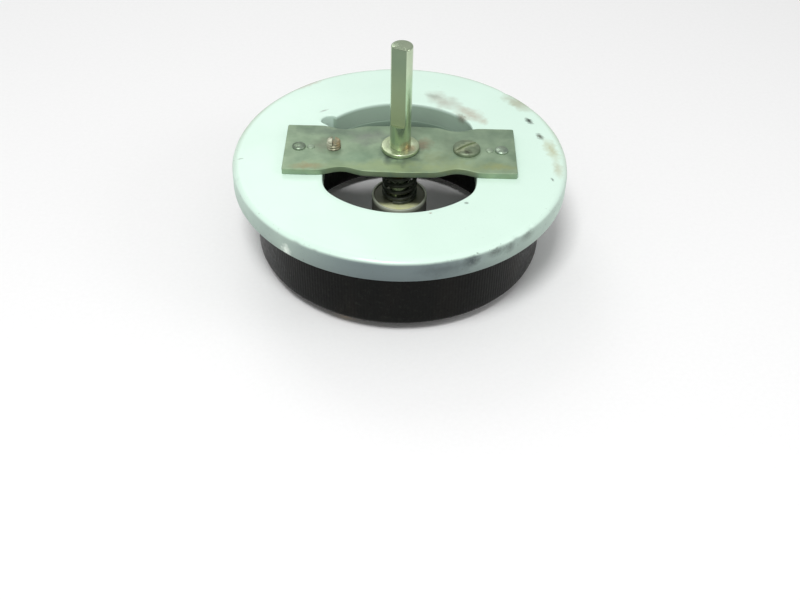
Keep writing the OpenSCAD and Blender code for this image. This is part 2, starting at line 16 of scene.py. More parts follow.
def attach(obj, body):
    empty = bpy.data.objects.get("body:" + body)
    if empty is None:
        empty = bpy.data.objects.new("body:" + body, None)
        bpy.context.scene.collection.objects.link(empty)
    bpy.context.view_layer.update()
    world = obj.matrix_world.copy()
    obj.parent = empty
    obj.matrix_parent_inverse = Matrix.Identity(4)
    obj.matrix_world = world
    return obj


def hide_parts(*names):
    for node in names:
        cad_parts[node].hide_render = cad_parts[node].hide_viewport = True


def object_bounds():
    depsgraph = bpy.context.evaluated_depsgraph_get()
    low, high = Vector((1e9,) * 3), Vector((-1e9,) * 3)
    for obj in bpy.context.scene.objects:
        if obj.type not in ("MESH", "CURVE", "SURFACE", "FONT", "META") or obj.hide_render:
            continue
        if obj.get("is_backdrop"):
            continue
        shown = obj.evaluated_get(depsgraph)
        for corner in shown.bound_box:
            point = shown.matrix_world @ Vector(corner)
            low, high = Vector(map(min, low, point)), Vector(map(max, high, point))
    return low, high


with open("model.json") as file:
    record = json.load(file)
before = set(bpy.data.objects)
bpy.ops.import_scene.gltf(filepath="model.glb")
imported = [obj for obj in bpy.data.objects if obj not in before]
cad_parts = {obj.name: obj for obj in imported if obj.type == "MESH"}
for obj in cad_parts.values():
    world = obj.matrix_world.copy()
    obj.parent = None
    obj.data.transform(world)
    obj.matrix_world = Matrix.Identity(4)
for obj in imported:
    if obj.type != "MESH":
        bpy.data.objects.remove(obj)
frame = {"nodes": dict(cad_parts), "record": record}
cad_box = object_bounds()

# ---- View, lamps and floor ----
# The part stands on its back on a plain pale sheet, seen from in front and above.
# A soft lamp hangs above and a little in front, two weak ones fill in, and the room is pale all round.
# Places in this section are in metres.

camera = bpy.data.objects.new("camera", bpy.data.cameras.new("camera"))
camera.data.sensor_width = 36
camera.data.lens = 48.6
camera.matrix_world = (
    Matrix.Translation((0.0014, -0.4066, 0.2828))
    @ Matrix.Rotation(math.radians(47.2), 4, "X")
    @ Matrix.Rotation(math.radians(1.25), 4, "Z")
)
bpy.context.scene.collection.objects.link(camera)
bpy.context.scene.camera = camera
bpy.context.scene.view_settings.view_transform = "Standard"


def tint(code):
    """An sRGB hex colour as linear RGBA: c / 12.92 below 0.04045, else ((c + 0.055) / 1.055) ^ 2.4."""
    c = np.array([int(code[i : i + 2], 16) for i in (1, 3, 5)]) / 255
    lin = np.where(c <= 0.04045, c / 12.92, ((c + 0.055) / 1.055) ** 2.4)
    return (*lin.tolist(), 1.0)


def add(tree, kind, sockets=None, **settings):
    """Adds one node with its settings, and gives each input, by name or number, a value or a link.
    A node given as a value stands for its first output."""
    made = tree.nodes.new("ShaderNode" + kind)
    for key, value in settings.items():
        setattr(made, key, value)
    for key, value in (sockets or {}).items():
        if isinstance(value, bpy.types.Node):
            value = value.outputs[0]
        if isinstance(value, bpy.types.NodeSocket):
            tree.links.new(value, made.inputs[key])
        else:
            made.inputs[key].default_value = value
    return made


def soft_lamp(name, place, size, watts):
    """A square lamp, its place and side in metres, that faces the part's middle."""
    lamp = bpy.data.objects.new(name, bpy.data.lights.new(name, "AREA"))
    lamp.data.size = size
    lamp.data.energy = watts
    lamp.location = place
    lamp.rotation_mode = "QUATERNION"
    lamp.rotation_quaternion = (-Vector(place)).to_track_quat("-Z", "Y")
    bpy.context.scene.collection.objects.link(lamp)


soft_lamp("lamp_above", (-0.12, -0.5, 1.0), 0.3, 7.8)
soft_lamp("lamp_behind", (-0.3, 0.75, 0.75), 0.5, 1.5)
soft_lamp("lamp_side", (0.95, -0.25, 0.55), 0.4, 1.2)

# The room lights the part weakly, and is plain white where the camera sees it
ROOM_LIGHT = 0.42
world = bpy.data.worlds.new("pale_room")
bpy.context.scene.world = world
world.use_nodes = True
world.node_tree.nodes.clear()
ray = add(world.node_tree, "LightPath")
seen = add(
    world.node_tree, "Math",
    {0: ray.outputs["Is Camera Ray"], 1: ray.outputs["Is Transmission Ray"]}, operation="MAXIMUM",
)
level = add(world.node_tree, "MapRange", {"Value": seen, "To Min": ROOM_LIGHT, "To Max": 1.0})
glow = add(world.node_tree, "Background", {"Color": tint("#FFFFFF"), "Strength": level})
add(world.node_tree, "OutputWorld", {"Surface": glow})


def nodes_of(material):
    """A material's node tree, its shader, and object coordinates."""
    tree = material.node_tree
    return tree, tree.nodes["Principled BSDF"], add(tree, "TexCoord").outputs["Object"]


def blank(name, sockets):
    """A new material with these sockets of its shader set, and its nodes as above."""
    material = bpy.data.materials.new(name)
    material.use_nodes = True
    tree, shader, here = nodes_of(material)
    for key, value in sockets.items():
        shader.inputs[key].default_value = value
    return material, tree, shader, here


# Matt paper, so pale that only the part's shadow shows on it
paper, tree, shader, here = blank("matt_paper", {"Roughness": 0.9, "Specular IOR Level": 0.1})
fibres = add(tree, "TexNoise", {"Vector": here, "Scale": 1000 / 2.0, "Detail": 2.0})
sheet_tone = add(tree, "Mix", {0: fibres, 6: tint("#F6F6F6"), 7: tint("#FBFBFB")}, data_type="RGBA")
tree.links.new(sheet_tone.outputs[2], shader.inputs["Base Color"])

rest_z = cad_box[0].z
floor_mesh = bpy.data.meshes.new("floor")
floor_mesh.from_pydata(
    [(-4, -4, rest_z), (4, -4, rest_z), (4, 4, rest_z), (-4, 4, rest_z)], [], [(0, 1, 2, 3)]
)
floor_mesh.materials.append(paper)
floor = bpy.data.objects.new("floor", floor_mesh)
bpy.context.scene.collection.objects.link(floor)
floor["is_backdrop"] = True

# ---- Glazed ceramic base ----
# A pressed and fired steatite ring, glazed white on its front, that carries everything else.
# Its hole has two flats and one relief notch, and two short lips behind it centre the core.

BASE_R, BASE_FRONT, BASE_REAR, EDGE_R = 76.2, -3.0, -13.3, 3.0
HOLE_R, HOLE_FLAT, NOTCH_R, NOTCH_AZ = 42.7, 34.5, 4.0, 142
LIP_THICK, LIP_DEEP, LIP_HALF = 3.0, 5.0, 27.0
RIVETS_AT, RIVET_HOLE_R, POCKET_R, POCKET_DEEP = [(-46.0, 0), (46.0, 0)], 1.92, 3.9, 2.4
PINS_AT, PIN_HOLE_R = [(-40.6, 0), (40.6, 0)], 1.82
# Chips in the rim: direction and half width in degrees, depth
CHIPS = (
    (236, 1.3, 0.5), (243, 0.8, 0.35), (304, 1.8, 0.4), (311, 1.1, 0.55),
    (318, 0.9, 0.4), (47, 1.6, 0.5), (101, 1.2, 0.4), (196, 1.0, 0.4),
)


def loft(stations, ring=False):
    """Points and faces of a skin over closed sections: stations[i, j] is point j of section i.
    Quads join each section to the next, and a ring joins the last to the first, or a fan closes each end."""
    m, n = stations.shape[:2]
    i, j = np.meshgrid(np.arange(m if ring else m - 1), np.arange(n), indexing="ij")
    low, high = i * n, (i + 1) % m * n
    on = (j + 1) % n
    faces = np.stack([low + j, low + on, high + on, high + j], -1).reshape(-1, 4).tolist()
    points = stations.reshape(-1, 3)
    if not ring:
        k = np.arange(n)
        last = (m - 1) * n
        faces += np.stack([(k + 1) % n, k, np.full(n, m * n)], -1).tolist()
        faces += np.stack([last + k, last + (k + 1) % n, np.full(n, m * n + 1)], -1).tolist()
        points = np.concatenate([points, stations[[0, -1]].mean(1)])
    return points, faces


def together(*shapes):
    """Several skins as one."""
    points, faces, base = [], [], 0
    for p, f in shapes:
        points.append(p)
        faces += [[k + base for k in face] for face in f]
        base += len(p)
    return np.concatenate(points), faces


def rounded(corners, radius, steps=5):
    """A closed outline with rounded corners: a corner C becomes (1-s)^2 A + 2 s (1-s) C + s^2 B,
    where A and B lie on its two sides, at the radius from it."""
    c = np.array(corners, float)
    back, on = np.roll(c, 1, 0) - c, np.roll(c, -1, 0) - c
    lb, lo = np.linalg.norm(back, axis=1), np.linalg.norm(on, axis=1)
    cut = np.minimum(np.broadcast_to(radius, len(c)), 0.45 * np.minimum(lb, lo))[:, None]
    a, b = c + back / lb[:, None] * cut, c + on / lo[:, None] * cut
    s = np.linspace(0, 1, steps)[None, :, None]
    return ((1 - s) ** 2 * a[:, None] + 2 * s * (1 - s) * c[:, None] + s**2 * b[:, None]).reshape(-1, 2)


def ripple(a, b, seed):
    """A smooth uneven field of about unit height: a sum of five sine waves in a and b."""
    k = np.random.default_rng(seed).uniform(0.4, 2.6, (5, 2)) * [[1, 1], [-1, 1], [1, -1], [2, 1], [1, 2]]
    return sum(np.sin(p * a + q * b + 1.7 * n) for n, (p, q) in enumerate(k)) / 2.5


def lathe(outline, steps=128, at=(0, 0)):
    """Turns a closed outline of (radius, height) about an upright line: x = r cos t, y = r sin t.
    An outline that starts and ends on the line gives a solid piece, and any other gives a ring."""
    rz = np.array(outline, float)
    solid = abs(rz[0, 0]) < 1e-9 and abs(rz[-1, 0]) < 1e-9
    rz = rz[1:-1] if solid else rz
    t = np.linspace(0, 2 * np.pi, steps, endpoint=False)
    x, y = at[0] + rz[:, :1] * np.cos(t), at[1] + rz[:, :1] * np.sin(t)
    return loft(np.stack([x, y, np.repeat(rz[:, 1:], steps, 1)], -1), ring=not solid)


def rod(r, low, high, at=(0, 0), steps=64):
    """A plain upright cylinder."""
    return lathe([(0, low), (r, low), (r, high), (0, high)], steps, at)


def clean(mesh, sharp):
    """Merges doubles, faces outwards, and shades smooth except over edges sharper than the angle."""
    bm = bmesh.new()
    bm.from_mesh(mesh)
    bmesh.ops.remove_doubles(bm, verts=bm.verts, dist=3e-7)
    bmesh.ops.recalc_face_normals(bm, faces=bm.faces)
    bm.to_mesh(mesh)
    bm.free()
    mesh.shade_smooth()
    mesh.set_sharp_from_angle(angle=math.radians(sharp))


def put(name, shape, material, body, node, sharp=38):
    """Makes a piece from a skin, with its material, its body and the node that it stands for."""
    mesh = bpy.data.meshes.new(name)
    mesh.from_pydata((shape[0] / 1000).tolist(), [], shape[1])
    clean(mesh, sharp)
    mesh.materials.append(material)
    piece = bpy.data.objects.new(name, mesh)
    bpy.context.scene.collection.objects.link(piece)
    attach(piece, body)
    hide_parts(node)
    return piece


def carve(piece, *shapes, sharp=38):
    """Cuts closed skins out of a piece, as a drill or a saw does."""
    mesh = bpy.data.meshes.new("cutter")
    points, faces = together(*shapes)
    mesh.from_pydata((points / 1000).tolist(), [], faces)
    clean(mesh, sharp)
    cutter = bpy.data.objects.new("cutter", mesh)
    bpy.context.scene.collection.objects.link(cutter)
    saw = piece.modifiers.new("saw", "BOOLEAN")
    saw.operation, saw.solver, saw.object, saw.use_self = "DIFFERENCE", "EXACT", cutter, True
    done = bpy.data.meshes.new_from_object(piece.evaluated_get(bpy.context.evaluated_depsgraph_get()))
    piece.modifiers.clear()
    bpy.data.objects.remove(cutter)
    done.materials.clear()
    done.materials.append(piece.data.materials[0])
    clean(done, sharp)
    piece.data = done


az = np.linspace(0, 2 * np.pi, 900, endpoint=False)
off = (np.degrees(az) - NOTCH_AZ + 180) % 360 - 180
in_notch = NOTCH_R**2 - (HOLE_R * np.sin(np.radians(off))) ** 2
notch_edge = HOLE_R * np.cos(np.radians(off)) + np.sqrt(np.maximum(in_notch, 0))
notch = np.where((np.abs(off) < 20) & (in_notch > 0), notch_edge, 0)
# The arc and the flats meet in soft corners: r = (arc^-20 + flat^-20)^(-1/20)
hole = np.maximum((HOLE_R**-20.0 + (np.abs(np.cos(az)) / HOLE_FLAT) ** 20) ** -0.05, notch)
# Each row of the outline: share of the way from hole to rim, step out from there, height
arc = np.linspace(0, np.pi / 2, 9)
lay = np.linspace(0, 1, 14)[1:-1]
outline = np.array(
    [(0, 0, BASE_REAR + 0.6), (0, 0, BASE_FRONT - 0.9)]
    + [(0, 0.8 * (1 - math.cos(a)), BASE_FRONT - 0.8 + 0.8 * math.sin(a)) for a in arc[2::2]]
    + [(t, 0.8 * (1 - t) - EDGE_R * t, BASE_FRONT) for t in lay]
    + [(1, EDGE_R * (math.sin(a) - 1), BASE_FRONT - EDGE_R * (1 - math.cos(a))) for a in arc]
    + [(1, 0, BASE_FRONT - 5.0), (1, 0, BASE_REAR + 0.7), (1, -0.5, BASE_REAR), (0, 0.5, BASE_REAR)]
)
share, step_out, height = outline[:, :1], outline[:, 1:2], outline[:, 2:]
r = (1 - share) * hole + share * BASE_R + step_out
z = np.repeat(height, len(az), 1)
# The fired face is uneven by about 0.1 mm, and the rim's wall is chipped and wavy
on_face = (z > BASE_FRONT - 0.05) & (share > 0) & (share < 1)
z = z - np.where(on_face, 0.05 + 0.05 * ripple(r / 9, az * 5, 3), 0)
rim = (share == 1) & (z > BASE_REAR + 0.8)
for chip_az, half_width, depth in CHIPS:
    dent = depth * np.exp(-(((np.degrees(az) - chip_az + 180) % 360 - 180) / half_width) ** 2)
    r = r - np.where(rim, dent * np.exp(-((z - BASE_FRONT + 1.2) / 1.6) ** 2), 0)
r = r - np.where(rim, 0.06 * (1 + ripple(az * 11, z / 3, 8)), 0)
plate = loft(np.stack([r * np.cos(az), r * np.sin(az), z], -1), ring=True)


def lip(side):
    """A lip behind the base: at x, it reaches from sqrt(hole^2 - x^2) to sqrt((hole + wall)^2 - x^2)."""
    x = np.linspace(-LIP_HALF, LIP_HALF, 60)[:, None]
    inner, outer = np.sqrt(HOLE_R**2 - x**2), np.sqrt((HOLE_R + LIP_THICK) ** 2 - x**2)
    low, high = BASE_REAR - LIP_DEEP, BASE_REAR + 0.4
    section = rounded([(0, low), (1, low), (1, high), (0, high)], [0.25, 0.25, 0.02, 0.02])
    y = side * (inner + (outer - inner) * section[:, 0])
    return loft(np.stack([x + 0 * y, y, np.repeat(section[None, :, 1], 60, 0)], -1))


def smear(tree, here, centre, size, degrees, ragged):
    """A ragged patch: 1 in the middle of an ellipse of that half size about centre, 0 outside it."""
    wander = add(tree, "TexNoise", {"Vector": here, "Scale": 1000 / (0.8 * size[1]), "Detail": 3.0})
    push = add(tree, "VectorMath", {0: wander.outputs["Color"], 1: (0.5, 0.5, 0.5)}, operation="SUBTRACT")
    pushed = add(
        tree, "VectorMath",
        {0: push, 1: (ragged * size[1] / 500,) * 3, 2: here}, operation="MULTIPLY_ADD",
    )
    local = add(
        tree, "Mapping",
        {
            "Vector": pushed,
            "Location": tuple(c / 1000 for c in centre),
            "Rotation": (0, 0, math.radians(degrees)),
            "Scale": (size[0] / 1000, size[1] / 1000, 0.004),
        },
        vector_type="TEXTURE",
    )
    far = add(tree, "VectorMath", {0: local}, operation="LENGTH")
    return add(
        tree, "MapRange", {"Value": far.outputs["Value"], "From Min": 1.05, "From Max": 0.2}
    ).outputs[0]


def over(tree, factor, under, top, strength=1.0):
    """A colour laid over another: under (1 - f) + top f, with f the factor times the strength."""
    weak = add(tree, "Math", {0: factor, 1: strength}, operation="MULTIPLY")
    return add(tree, "Mix", {0: weak, 6: under, 7: top}, data_type="RGBA").outputs[2]


# Glazed steatite: a glassy white skin over a greyish body, with brown smears and specks from handling.
# The glaze stops short of the rim's wall, which is bare, grey and scuffed, and darkened in front with painted
# shade.
glaze, tree, shader, here = blank("glazed_steatite", {"IOR": 1.5, "Specular IOR Level": 0.35})
cloud = add(tree, "TexNoise", {"Vector": here, "Scale": 1000 / 30, "Detail": 3.0})
colour = over(tree, cloud, tint("#E1F9EC"), tint("#D7F1E2"))
place = add(tree, "SeparateXYZ", {0: here})
side_band = add(
    tree, "MapRange",
    {
        "Value": place.outputs["Z"],
        "From Min": (BASE_FRONT - 0.9) / 1000, "From Max": (BASE_FRONT - 1.9) / 1000,
    },
)
flat_xy = add(tree, "VectorMath", {0: here, 1: (1, 1, 0)}, operation="MULTIPLY")
radius = add(tree, "VectorMath", {0: flat_xy}, operation="LENGTH")
outer = add(
    tree, "MapRange",
    {"Value": radius.outputs["Value"], "From Min": (BASE_R - 6.2) / 1000, "From Max": (BASE_R - 2.7) / 1000},
)
band = add(tree, "Math", {0: side_band, 1: outer}, operation="MULTIPLY")
patches = add(tree, "TexNoise", {"Vector": here, "Scale": 1000 / 22, "Detail": 4.0, "Roughness": 0.6})
bare = over(tree, patches, tint("#B6CABD"), tint("#92A39D"))
# The wall's bare grey lies thinly all round and fully on the near side, and a dark grey lies at its foremost:
# the near side's grey and the dark front are painted shade
fore = add(
    tree, "MapRange",
    {"Value": place.outputs["Y"], "From Min": -0.02, "From Max": -0.055, "To Min": 0.3},
)
bare_and_near_shade = add(tree, "Math", {0: band, 1: fore}, operation="MULTIPLY")
colour = over(tree, bare_and_near_shade, colour, bare)
# Painted shade: dark grey on the front of the rim's wall
foremost = add(tree, "MapRange", {"Value": place.outputs["Y"], "From Min": -0.058, "From Max": -0.075})
front_shade = add(tree, "Math", {0: band, 1: foremost}, operation="MULTIPLY")
colour = over(tree, front_shade, colour, tint("#59656B"), 0.8)
# The hole's wall and the lips are painted a darker green-grey as painted shade, darker still on the lips
within = add(
    tree, "MapRange",
    {"Value": radius.outputs["Value"], "From Min": (HOLE_R + 1.9) / 1000, "From Max": (HOLE_R + 0.9) / 1000},
)
bore_wall = add(tree, "Math", {0: side_band, 1: within}, operation="MULTIPLY")
colour = over(tree, bore_wall, colour, tint("#93AE96"), 0.68)
below = add(
    tree, "MapRange",
    {
        "Value": place.outputs["Z"],
        "From Min": (BASE_REAR + 0.4) / 1000, "From Max": (BASE_REAR - 0.4) / 1000,
    },
)
# Painted shade on the lips, darker than on the hole's wall
on_lip = add(tree, "Math", {0: bore_wall, 1: below}, operation="MULTIPLY")
colour = over(tree, on_lip, colour, tint("#6F8A76"), 0.6)
# Smears: centre, half size, turn in degrees, colour, strength
for centre, size, degrees, code, strength in (
    ((20.5, 45.5, BASE_FRONT), (12, 6.5), -38, "#AFA79A", 0.6),
    ((15.5, 49.5, BASE_FRONT), (5, 2.2), -20, "#8E9286", 0.5),
    ((33, 34.3, BASE_FRONT), (10, 6), -46, "#B29E8C", 0.65),
    ((28.8, 31.8, BASE_FRONT), (4, 1.8), -46, "#7E7765", 0.7),
    ((39.5, 28, BASE_FRONT), (3, 3), 0, "#B9AC98", 0.5),
    ((56, 45, BASE_FRONT), (11, 4.5), -52, "#A8A488", 0.65),
    ((60.9, 29.6, BASE_FRONT), (3.6, 1.8), -62, "#3C423A", 0.95),
    ((65.1, 16.5, BASE_FRONT), (3.4, 1.8), -70, "#4C4A3C", 0.85),
    ((69.5, 6, BASE_FRONT), (10, 3.5), -78, "#B7B389", 0.65),
    ((71, -9, BASE_FRONT), (8, 2.6), -88, "#B5AE8C", 0.5),
    ((68.0, -17.0, BASE_FRONT), (1.6, 0.7), -70, "#59615A", 0.8),
    ((29.2, -35.2, BASE_FRONT), (1.3, 0.9), 0, "#6E7B72", 0.85),
    ((13.6, -42.9, BASE_FRONT), (0.9, 0.6), 0, "#A08C7C", 0.8),
    ((-72.0, -6.4, BASE_FRONT), (1.8, 0.6), 20, "#8C9A90", 0.7),
    ((-37, 34.5, BASE_FRONT), (3.0, 0.8), 35, "#9AA79C", 0.7),
    ((-46, 58, BASE_FRONT), (10, 2.2), 38, "#C9B9AE", 0.5),
    ((20, -73.5, -8), (16, 4), 14, "#434D50", 0.5),
    ((31, -70, -6), (5, 1.5), 24, "#2F383B", 0.8),
    ((41, -64.5, -5), (6, 1.0), 34, "#4A524E", 0.8),
    ((47, -60.5, -6.5), (4, 1.4), 40, "#4A524E", 0.6),
    ((55, -53, -5), (6, 0.9), 46, "#6A746C", 0.7),
    # A near-white spot on the front left of the rim's wall is a painted glint
    ((-47, -60, -11), (3, 2.5), -38, "#F4FFF4", 0.9),
):
    colour = over(tree, smear(tree, here, centre, size, degrees, 0.7), colour, tint(code), strength)
# Specks of dirt about 1.6 mm apart lie thick on the rim's edge, whose far side is worn
dirt = add(tree, "TexNoise", {"Vector": here, "Scale": 1000 / 1.6, "Detail": 5.0, "Roughness": 0.7})
specks = add(tree, "MapRange", {"Value": dirt, "From Min": 0.62, "From Max": 0.72})
edge = add(
    tree, "MapRange",
    {"Value": radius.outputs["Value"], "From Min": (BASE_R - 3.7) / 1000, "From Max": (BASE_R - 1.0) / 1000},
)
scuffed = add(tree, "Math", {0: specks, 1: edge}, operation="MULTIPLY")
far_side = add(tree, "MapRange", {"Value": place.outputs["Y"], "From Min": -0.02, "From Max": 0.02})
worn_edge = add(tree, "Math", {0: edge, 1: far_side}, operation="MULTIPLY")
uneven = add(tree, "Math", {0: worn_edge, 1: patches}, operation="MULTIPLY")
colour = over(tree, uneven, colour, tint("#A3A883"), 0.8)
colour = over(tree, scuffed, colour, tint("#4A524C"), 0.75)
colour = over(tree, specks, colour, tint("#A9B4A6"), 0.16)
tree.links.new(colour, shader.inputs["Base Color"])
gloss = add(tree, "MapRange", {"Value": cloud, "To Min": 0.16, "To Max": 0.3})
dull = add(tree, "Mix", {0: band, 2: gloss, 3: 0.6})
tree.links.new(dull.outputs[0], shader.inputs["Roughness"])
pits = add(tree, "TexNoise", {"Vector": here, "Scale": 1000 / 3.0, "Detail": 3.0})
relief = add(tree, "Bump", {"Strength": 0.12, "Distance": 0.0003, "Height": pits})
tree.links.new(relief.outputs[0], shader.inputs["Normal"])

base = put("ceramic_base", together(plate, lip(1), lip(-1)), glaze, "stator", "base_plate")
carve(
    base,
    *[rod(RIVET_HOLE_R, BASE_REAR - 2, BASE_FRONT + 1, p) for p in RIVETS_AT],
    *[rod(POCKET_R, BASE_REAR - 2, BASE_REAR + POCKET_DEEP, p) for p in RIVETS_AT],
    *[rod(PIN_HOLE_R, -9.0, BASE_FRONT + 1, p) for p in PINS_AT],
)

# ---- Core and resistance winding ----
# A bare fired ceramic ring wound with one long nickel-chrome ribbon, a turn about every 1.2 mm.
# The winding stops short of the far side, where a dead sector carries the terminals.

WIRE_IN, WIRE_OUT, WIRE_REAR, WIRE_FRONT = 48.5, 64.7, -46.48, -15.9
WIRE_THICK, WIRE_WIDE = 0.84, 0.82
TURNS, WOUND, DEAD_AZ = 254, 320.0, 90.0
WINDING_FROM = (360 - WOUND) / 2


def worn_metal(name, tone, worn, patch, rough, marks, metallic, turned=False):
    """Plated or bare metal: two tones in soft patches, and fine marks that give gloss and relief.
    Marks are as long along x, y and z as given, or, on a turned piece, out from the shaft's axis and along it.
    They are drawn coarser than a tool's own marks, so that they show."""
    material, tree, shader, here = blank(name, {"Metallic": metallic})
    clouds = add(tree, "TexNoise", {"Vector": here, "Scale": 1000 / patch, "Detail": 4.0})
    spread = add(tree, "MapRange", {"Value": clouds, "From Min": 0.36, "From Max": 0.64})
    tones = over(tree, spread, tint(tone), tint(worn))
    tree.links.new(tones, shader.inputs["Base Color"])
    if turned:
        flat = add(tree, "VectorMath", {0: here, 1: (1, 1, 0)}, operation="MULTIPLY")
        out = add(tree, "VectorMath", {0: flat}, operation="LENGTH")
        up = add(tree, "SeparateXYZ", {0: here})
        here = add(tree, "CombineXYZ", {0: out.outputs["Value"], 2: up.outputs["Z"]}).outputs[0]
    fine = tuple(1000 / m for m in marks)
    scaled = add(tree, "VectorMath", {0: here, 1: fine}, operation="MULTIPLY")
    lines = add(tree, "TexNoise", {"Vector": scaled, "Scale": 1.0, "Detail": 3.0})
    gloss = add(
        tree, "MapRange",
        {
            "Value": lines, "From Min": 0.3, "From Max": 0.7,
            "To Min": rough - 0.07, "To Max": rough + 0.09,
        },
    )
    tree.links.new(gloss.outputs[0], shader.inputs["Roughness"])
    relief = add(tree, "Bump", {"Strength": 0.2, "Distance": 0.0001, "Height": lines})
    tree.links.new(relief.outputs[0], shader.inputs["Normal"])
    return material


# Nickel-chrome ribbon: grey and dull where it is fired in, bright where the brush has polished it
ribbon = worn_metal("nickel_chrome_ribbon", "#8E8A82", "#B3AEA4", 9, 0.34, (0.4, 0.4, 2.0), 0.95, turned=True)
# A helix bent round the core: a rounded loop is walked once a turn, while the direction moves on evenly,
# and at each step a six sided section stands across the way
loop = rounded(
    [(WIRE_IN, WIRE_REAR), (WIRE_OUT, WIRE_REAR), (WIRE_OUT, WIRE_FRONT), (WIRE_IN, WIRE_FRONT)], 2.2, 6
)
count = TURNS * len(loop)
loop_r, loop_z = np.tile(loop, (TURNS, 1)).T
loop_az = np.radians(DEAD_AZ + WINDING_FROM + WOUND * np.arange(count) / (count - 1))
way = np.roll(loop, -1, 0) - np.roll(loop, 1, 0)
way = np.tile(way / np.linalg.norm(way, axis=1)[:, None], (TURNS, 1))
k = np.linspace(0, 2 * np.pi, 6, endpoint=False)
lift, side = WIRE_THICK / 2 * np.cos(k), WIRE_WIDE / 2 * np.sin(k)
r = loop_r[:, None] + way[:, 1:2] * lift
z = loop_z[:, None] - way[:, :1] * lift
x = r * np.cos(loop_az)[:, None] - side * np.sin(loop_az)[:, None]
y = r * np.sin(loop_az)[:, None] + side * np.cos(loop_az)[:, None]
put(
    "resistance_ribbon", loft(np.stack([x, y, z], -1)),
    ribbon, "stator", "resistance_winding", 60,
)

# Fired steatite without glaze: a matt cream with faint grey clouds
bisque, tree, shader, here = blank("fired_steatite", {"Roughness": 0.75})
clouds = add(tree, "TexNoise", {"Vector": here, "Scale": 1000 / 12, "Detail": 5.0})
tree.links.new(over(tree, clouds, tint("#D2CBB9"), tint("#B4AC9B")), shader.inputs["Base Color"])
grit = add(tree, "TexNoise", {"Vector": here, "Scale": 1000 / 0.8, "Detail": 2.0})
relief = add(tree, "Bump", {"Strength": 0.3, "Distance": 0.0001, "Height": grit})
tree.links.new(relief.outputs[0], shader.inputs["Normal"])
frame["nodes"]["core_ring"].data.materials.clear()
frame["nodes"]["core_ring"].data.materials.append(bisque)

# ---- Vitreous enamel ----
# Powdered glass fused over core and wire, which locks every turn and bonds the core to the base.
# The turns show through it as faint ribs, and it is ground away behind to bare the brush's track.

ENAMEL_OUT, ENAMEL_IN, ENAMEL_REAR = 66.7, 46.5, -47.5
TRACK_R, TRACK_HALF, RIB_HIGH = 56.6, 5.0, 0.05

az = np.linspace(0, 2 * np.pi, 1728, endpoint=False)
deg = np.degrees(az)
from_dead = np.abs((deg - DEAD_AZ + 180) % 360 - 180)
wound = np.clip((from_dead - WINDING_FROM) / 2, 0, 1)
groove = np.clip((from_dead - 15) / 0.3, 0, 1)
bow = np.linspace(0, np.pi / 2, 8)
low, high = TRACK_R - TRACK_HALF, TRACK_R + TRACK_HALF
# Each row: radius, height, depth of the groove there, share of the ribs' height there
rows = np.array(
    [(ENAMEL_IN, BASE_REAR, 0, 0), (ENAMEL_IN, BASE_REAR - 3, 0, 0.8)]
    + [(ENAMEL_IN, h, 0, 1) for h in np.linspace(-22, -44, 4)]
    + [(ENAMEL_IN + 1 - math.cos(a), ENAMEL_REAR + 1 - math.sin(a), 0, 0.5) for a in bow[::2]]
    + [(low - 1.6, ENAMEL_REAR, 0, 0.6), (low - 0.3, ENAMEL_REAR, 0, 0.3), (low, ENAMEL_REAR, 0.2, 0)]
    + [(low + 0.15, ENAMEL_REAR, 1.05, 0), (TRACK_R, ENAMEL_REAR, 1.1, 0)]
    + [(high - 0.15, ENAMEL_REAR, 1.05, 0), (high, ENAMEL_REAR, 0.2, 0)]
    + [(high + 0.3, ENAMEL_REAR, 0, 0.3), (high + 1.4, ENAMEL_REAR, 0, 0.6)]
    + [(ENAMEL_OUT - 2.6 + 2.6 * math.sin(a), ENAMEL_REAR + 2.6 - 2.6 * math.cos(a), 0, 0.8) for a in bow]
    + [(ENAMEL_OUT, h, 0, 1) for h in np.linspace(-42, -18, 5)]
    + [(ENAMEL_OUT, BASE_REAR - 2.4, 0, 0.8), (ENAMEL_OUT, BASE_REAR, 0, 0)]
)
# The skin dips by (1 - rib) times the ribs' height, with rib = (1 + cos of the turn's phase) / 2,
# and by a little waviness all over, in towards the middle of the coil
rib = 0.5 + 0.5 * np.cos((deg - DEAD_AZ - WINDING_FROM) * 2 * np.pi * TURNS / WOUND)
waves = 0.07 * (1 + ripple(az * 7, rows[:, 1:2] / 9, 5))
dip = rows[:, 3:] * ((1 - rib) * wound * RIB_HIGH + waves)
to_middle = (TRACK_R - rows[:, :1]) / ((ENAMEL_OUT - ENAMEL_IN) / 2)
behind = np.where(rows[:, 1:2] < ENAMEL_REAR + 0.5, 1.0, 0.0)
r = rows[:, :1] + dip * to_middle * (1 - behind)
z = rows[:, 1:2] + dip * behind * 0.5 + rows[:, 2:3] * groove

# Dark vitreous enamel: near black, brownish where it is thin, glossy but uneven from the fire
enamel, tree, shader, here = blank("vitreous_enamel", {"IOR": 1.5, "Specular IOR Level": 0.1})
stretch = add(tree, "VectorMath", {0: here, 1: (1, 1, 0.45)}, operation="MULTIPLY")
burn = add(tree, "TexNoise", {"Vector": stretch, "Scale": 1000 / 16, "Detail": 4.0})
thin = add(tree, "MapRange", {"Value": burn, "From Min": 0.48, "From Max": 0.7})
colour = over(tree, thin, tint("#090A08"), tint("#171410"), 0.7)
dust = add(tree, "TexNoise", {"Vector": here, "Scale": 1000 / 2.2, "Detail": 5.0, "Roughness": 0.7})
dusty = add(tree, "MapRange", {"Value": dust, "From Min": 0.55, "From Max": 0.75})
tree.links.new(over(tree, dusty, colour, tint("#34372F"), 0.35), shader.inputs["Base Color"])
gloss = add(
    tree, "MapRange",
    {"Value": dust, "From Min": 0.3, "From Max": 0.7, "To Min": 0.24, "To Max": 0.46},
)
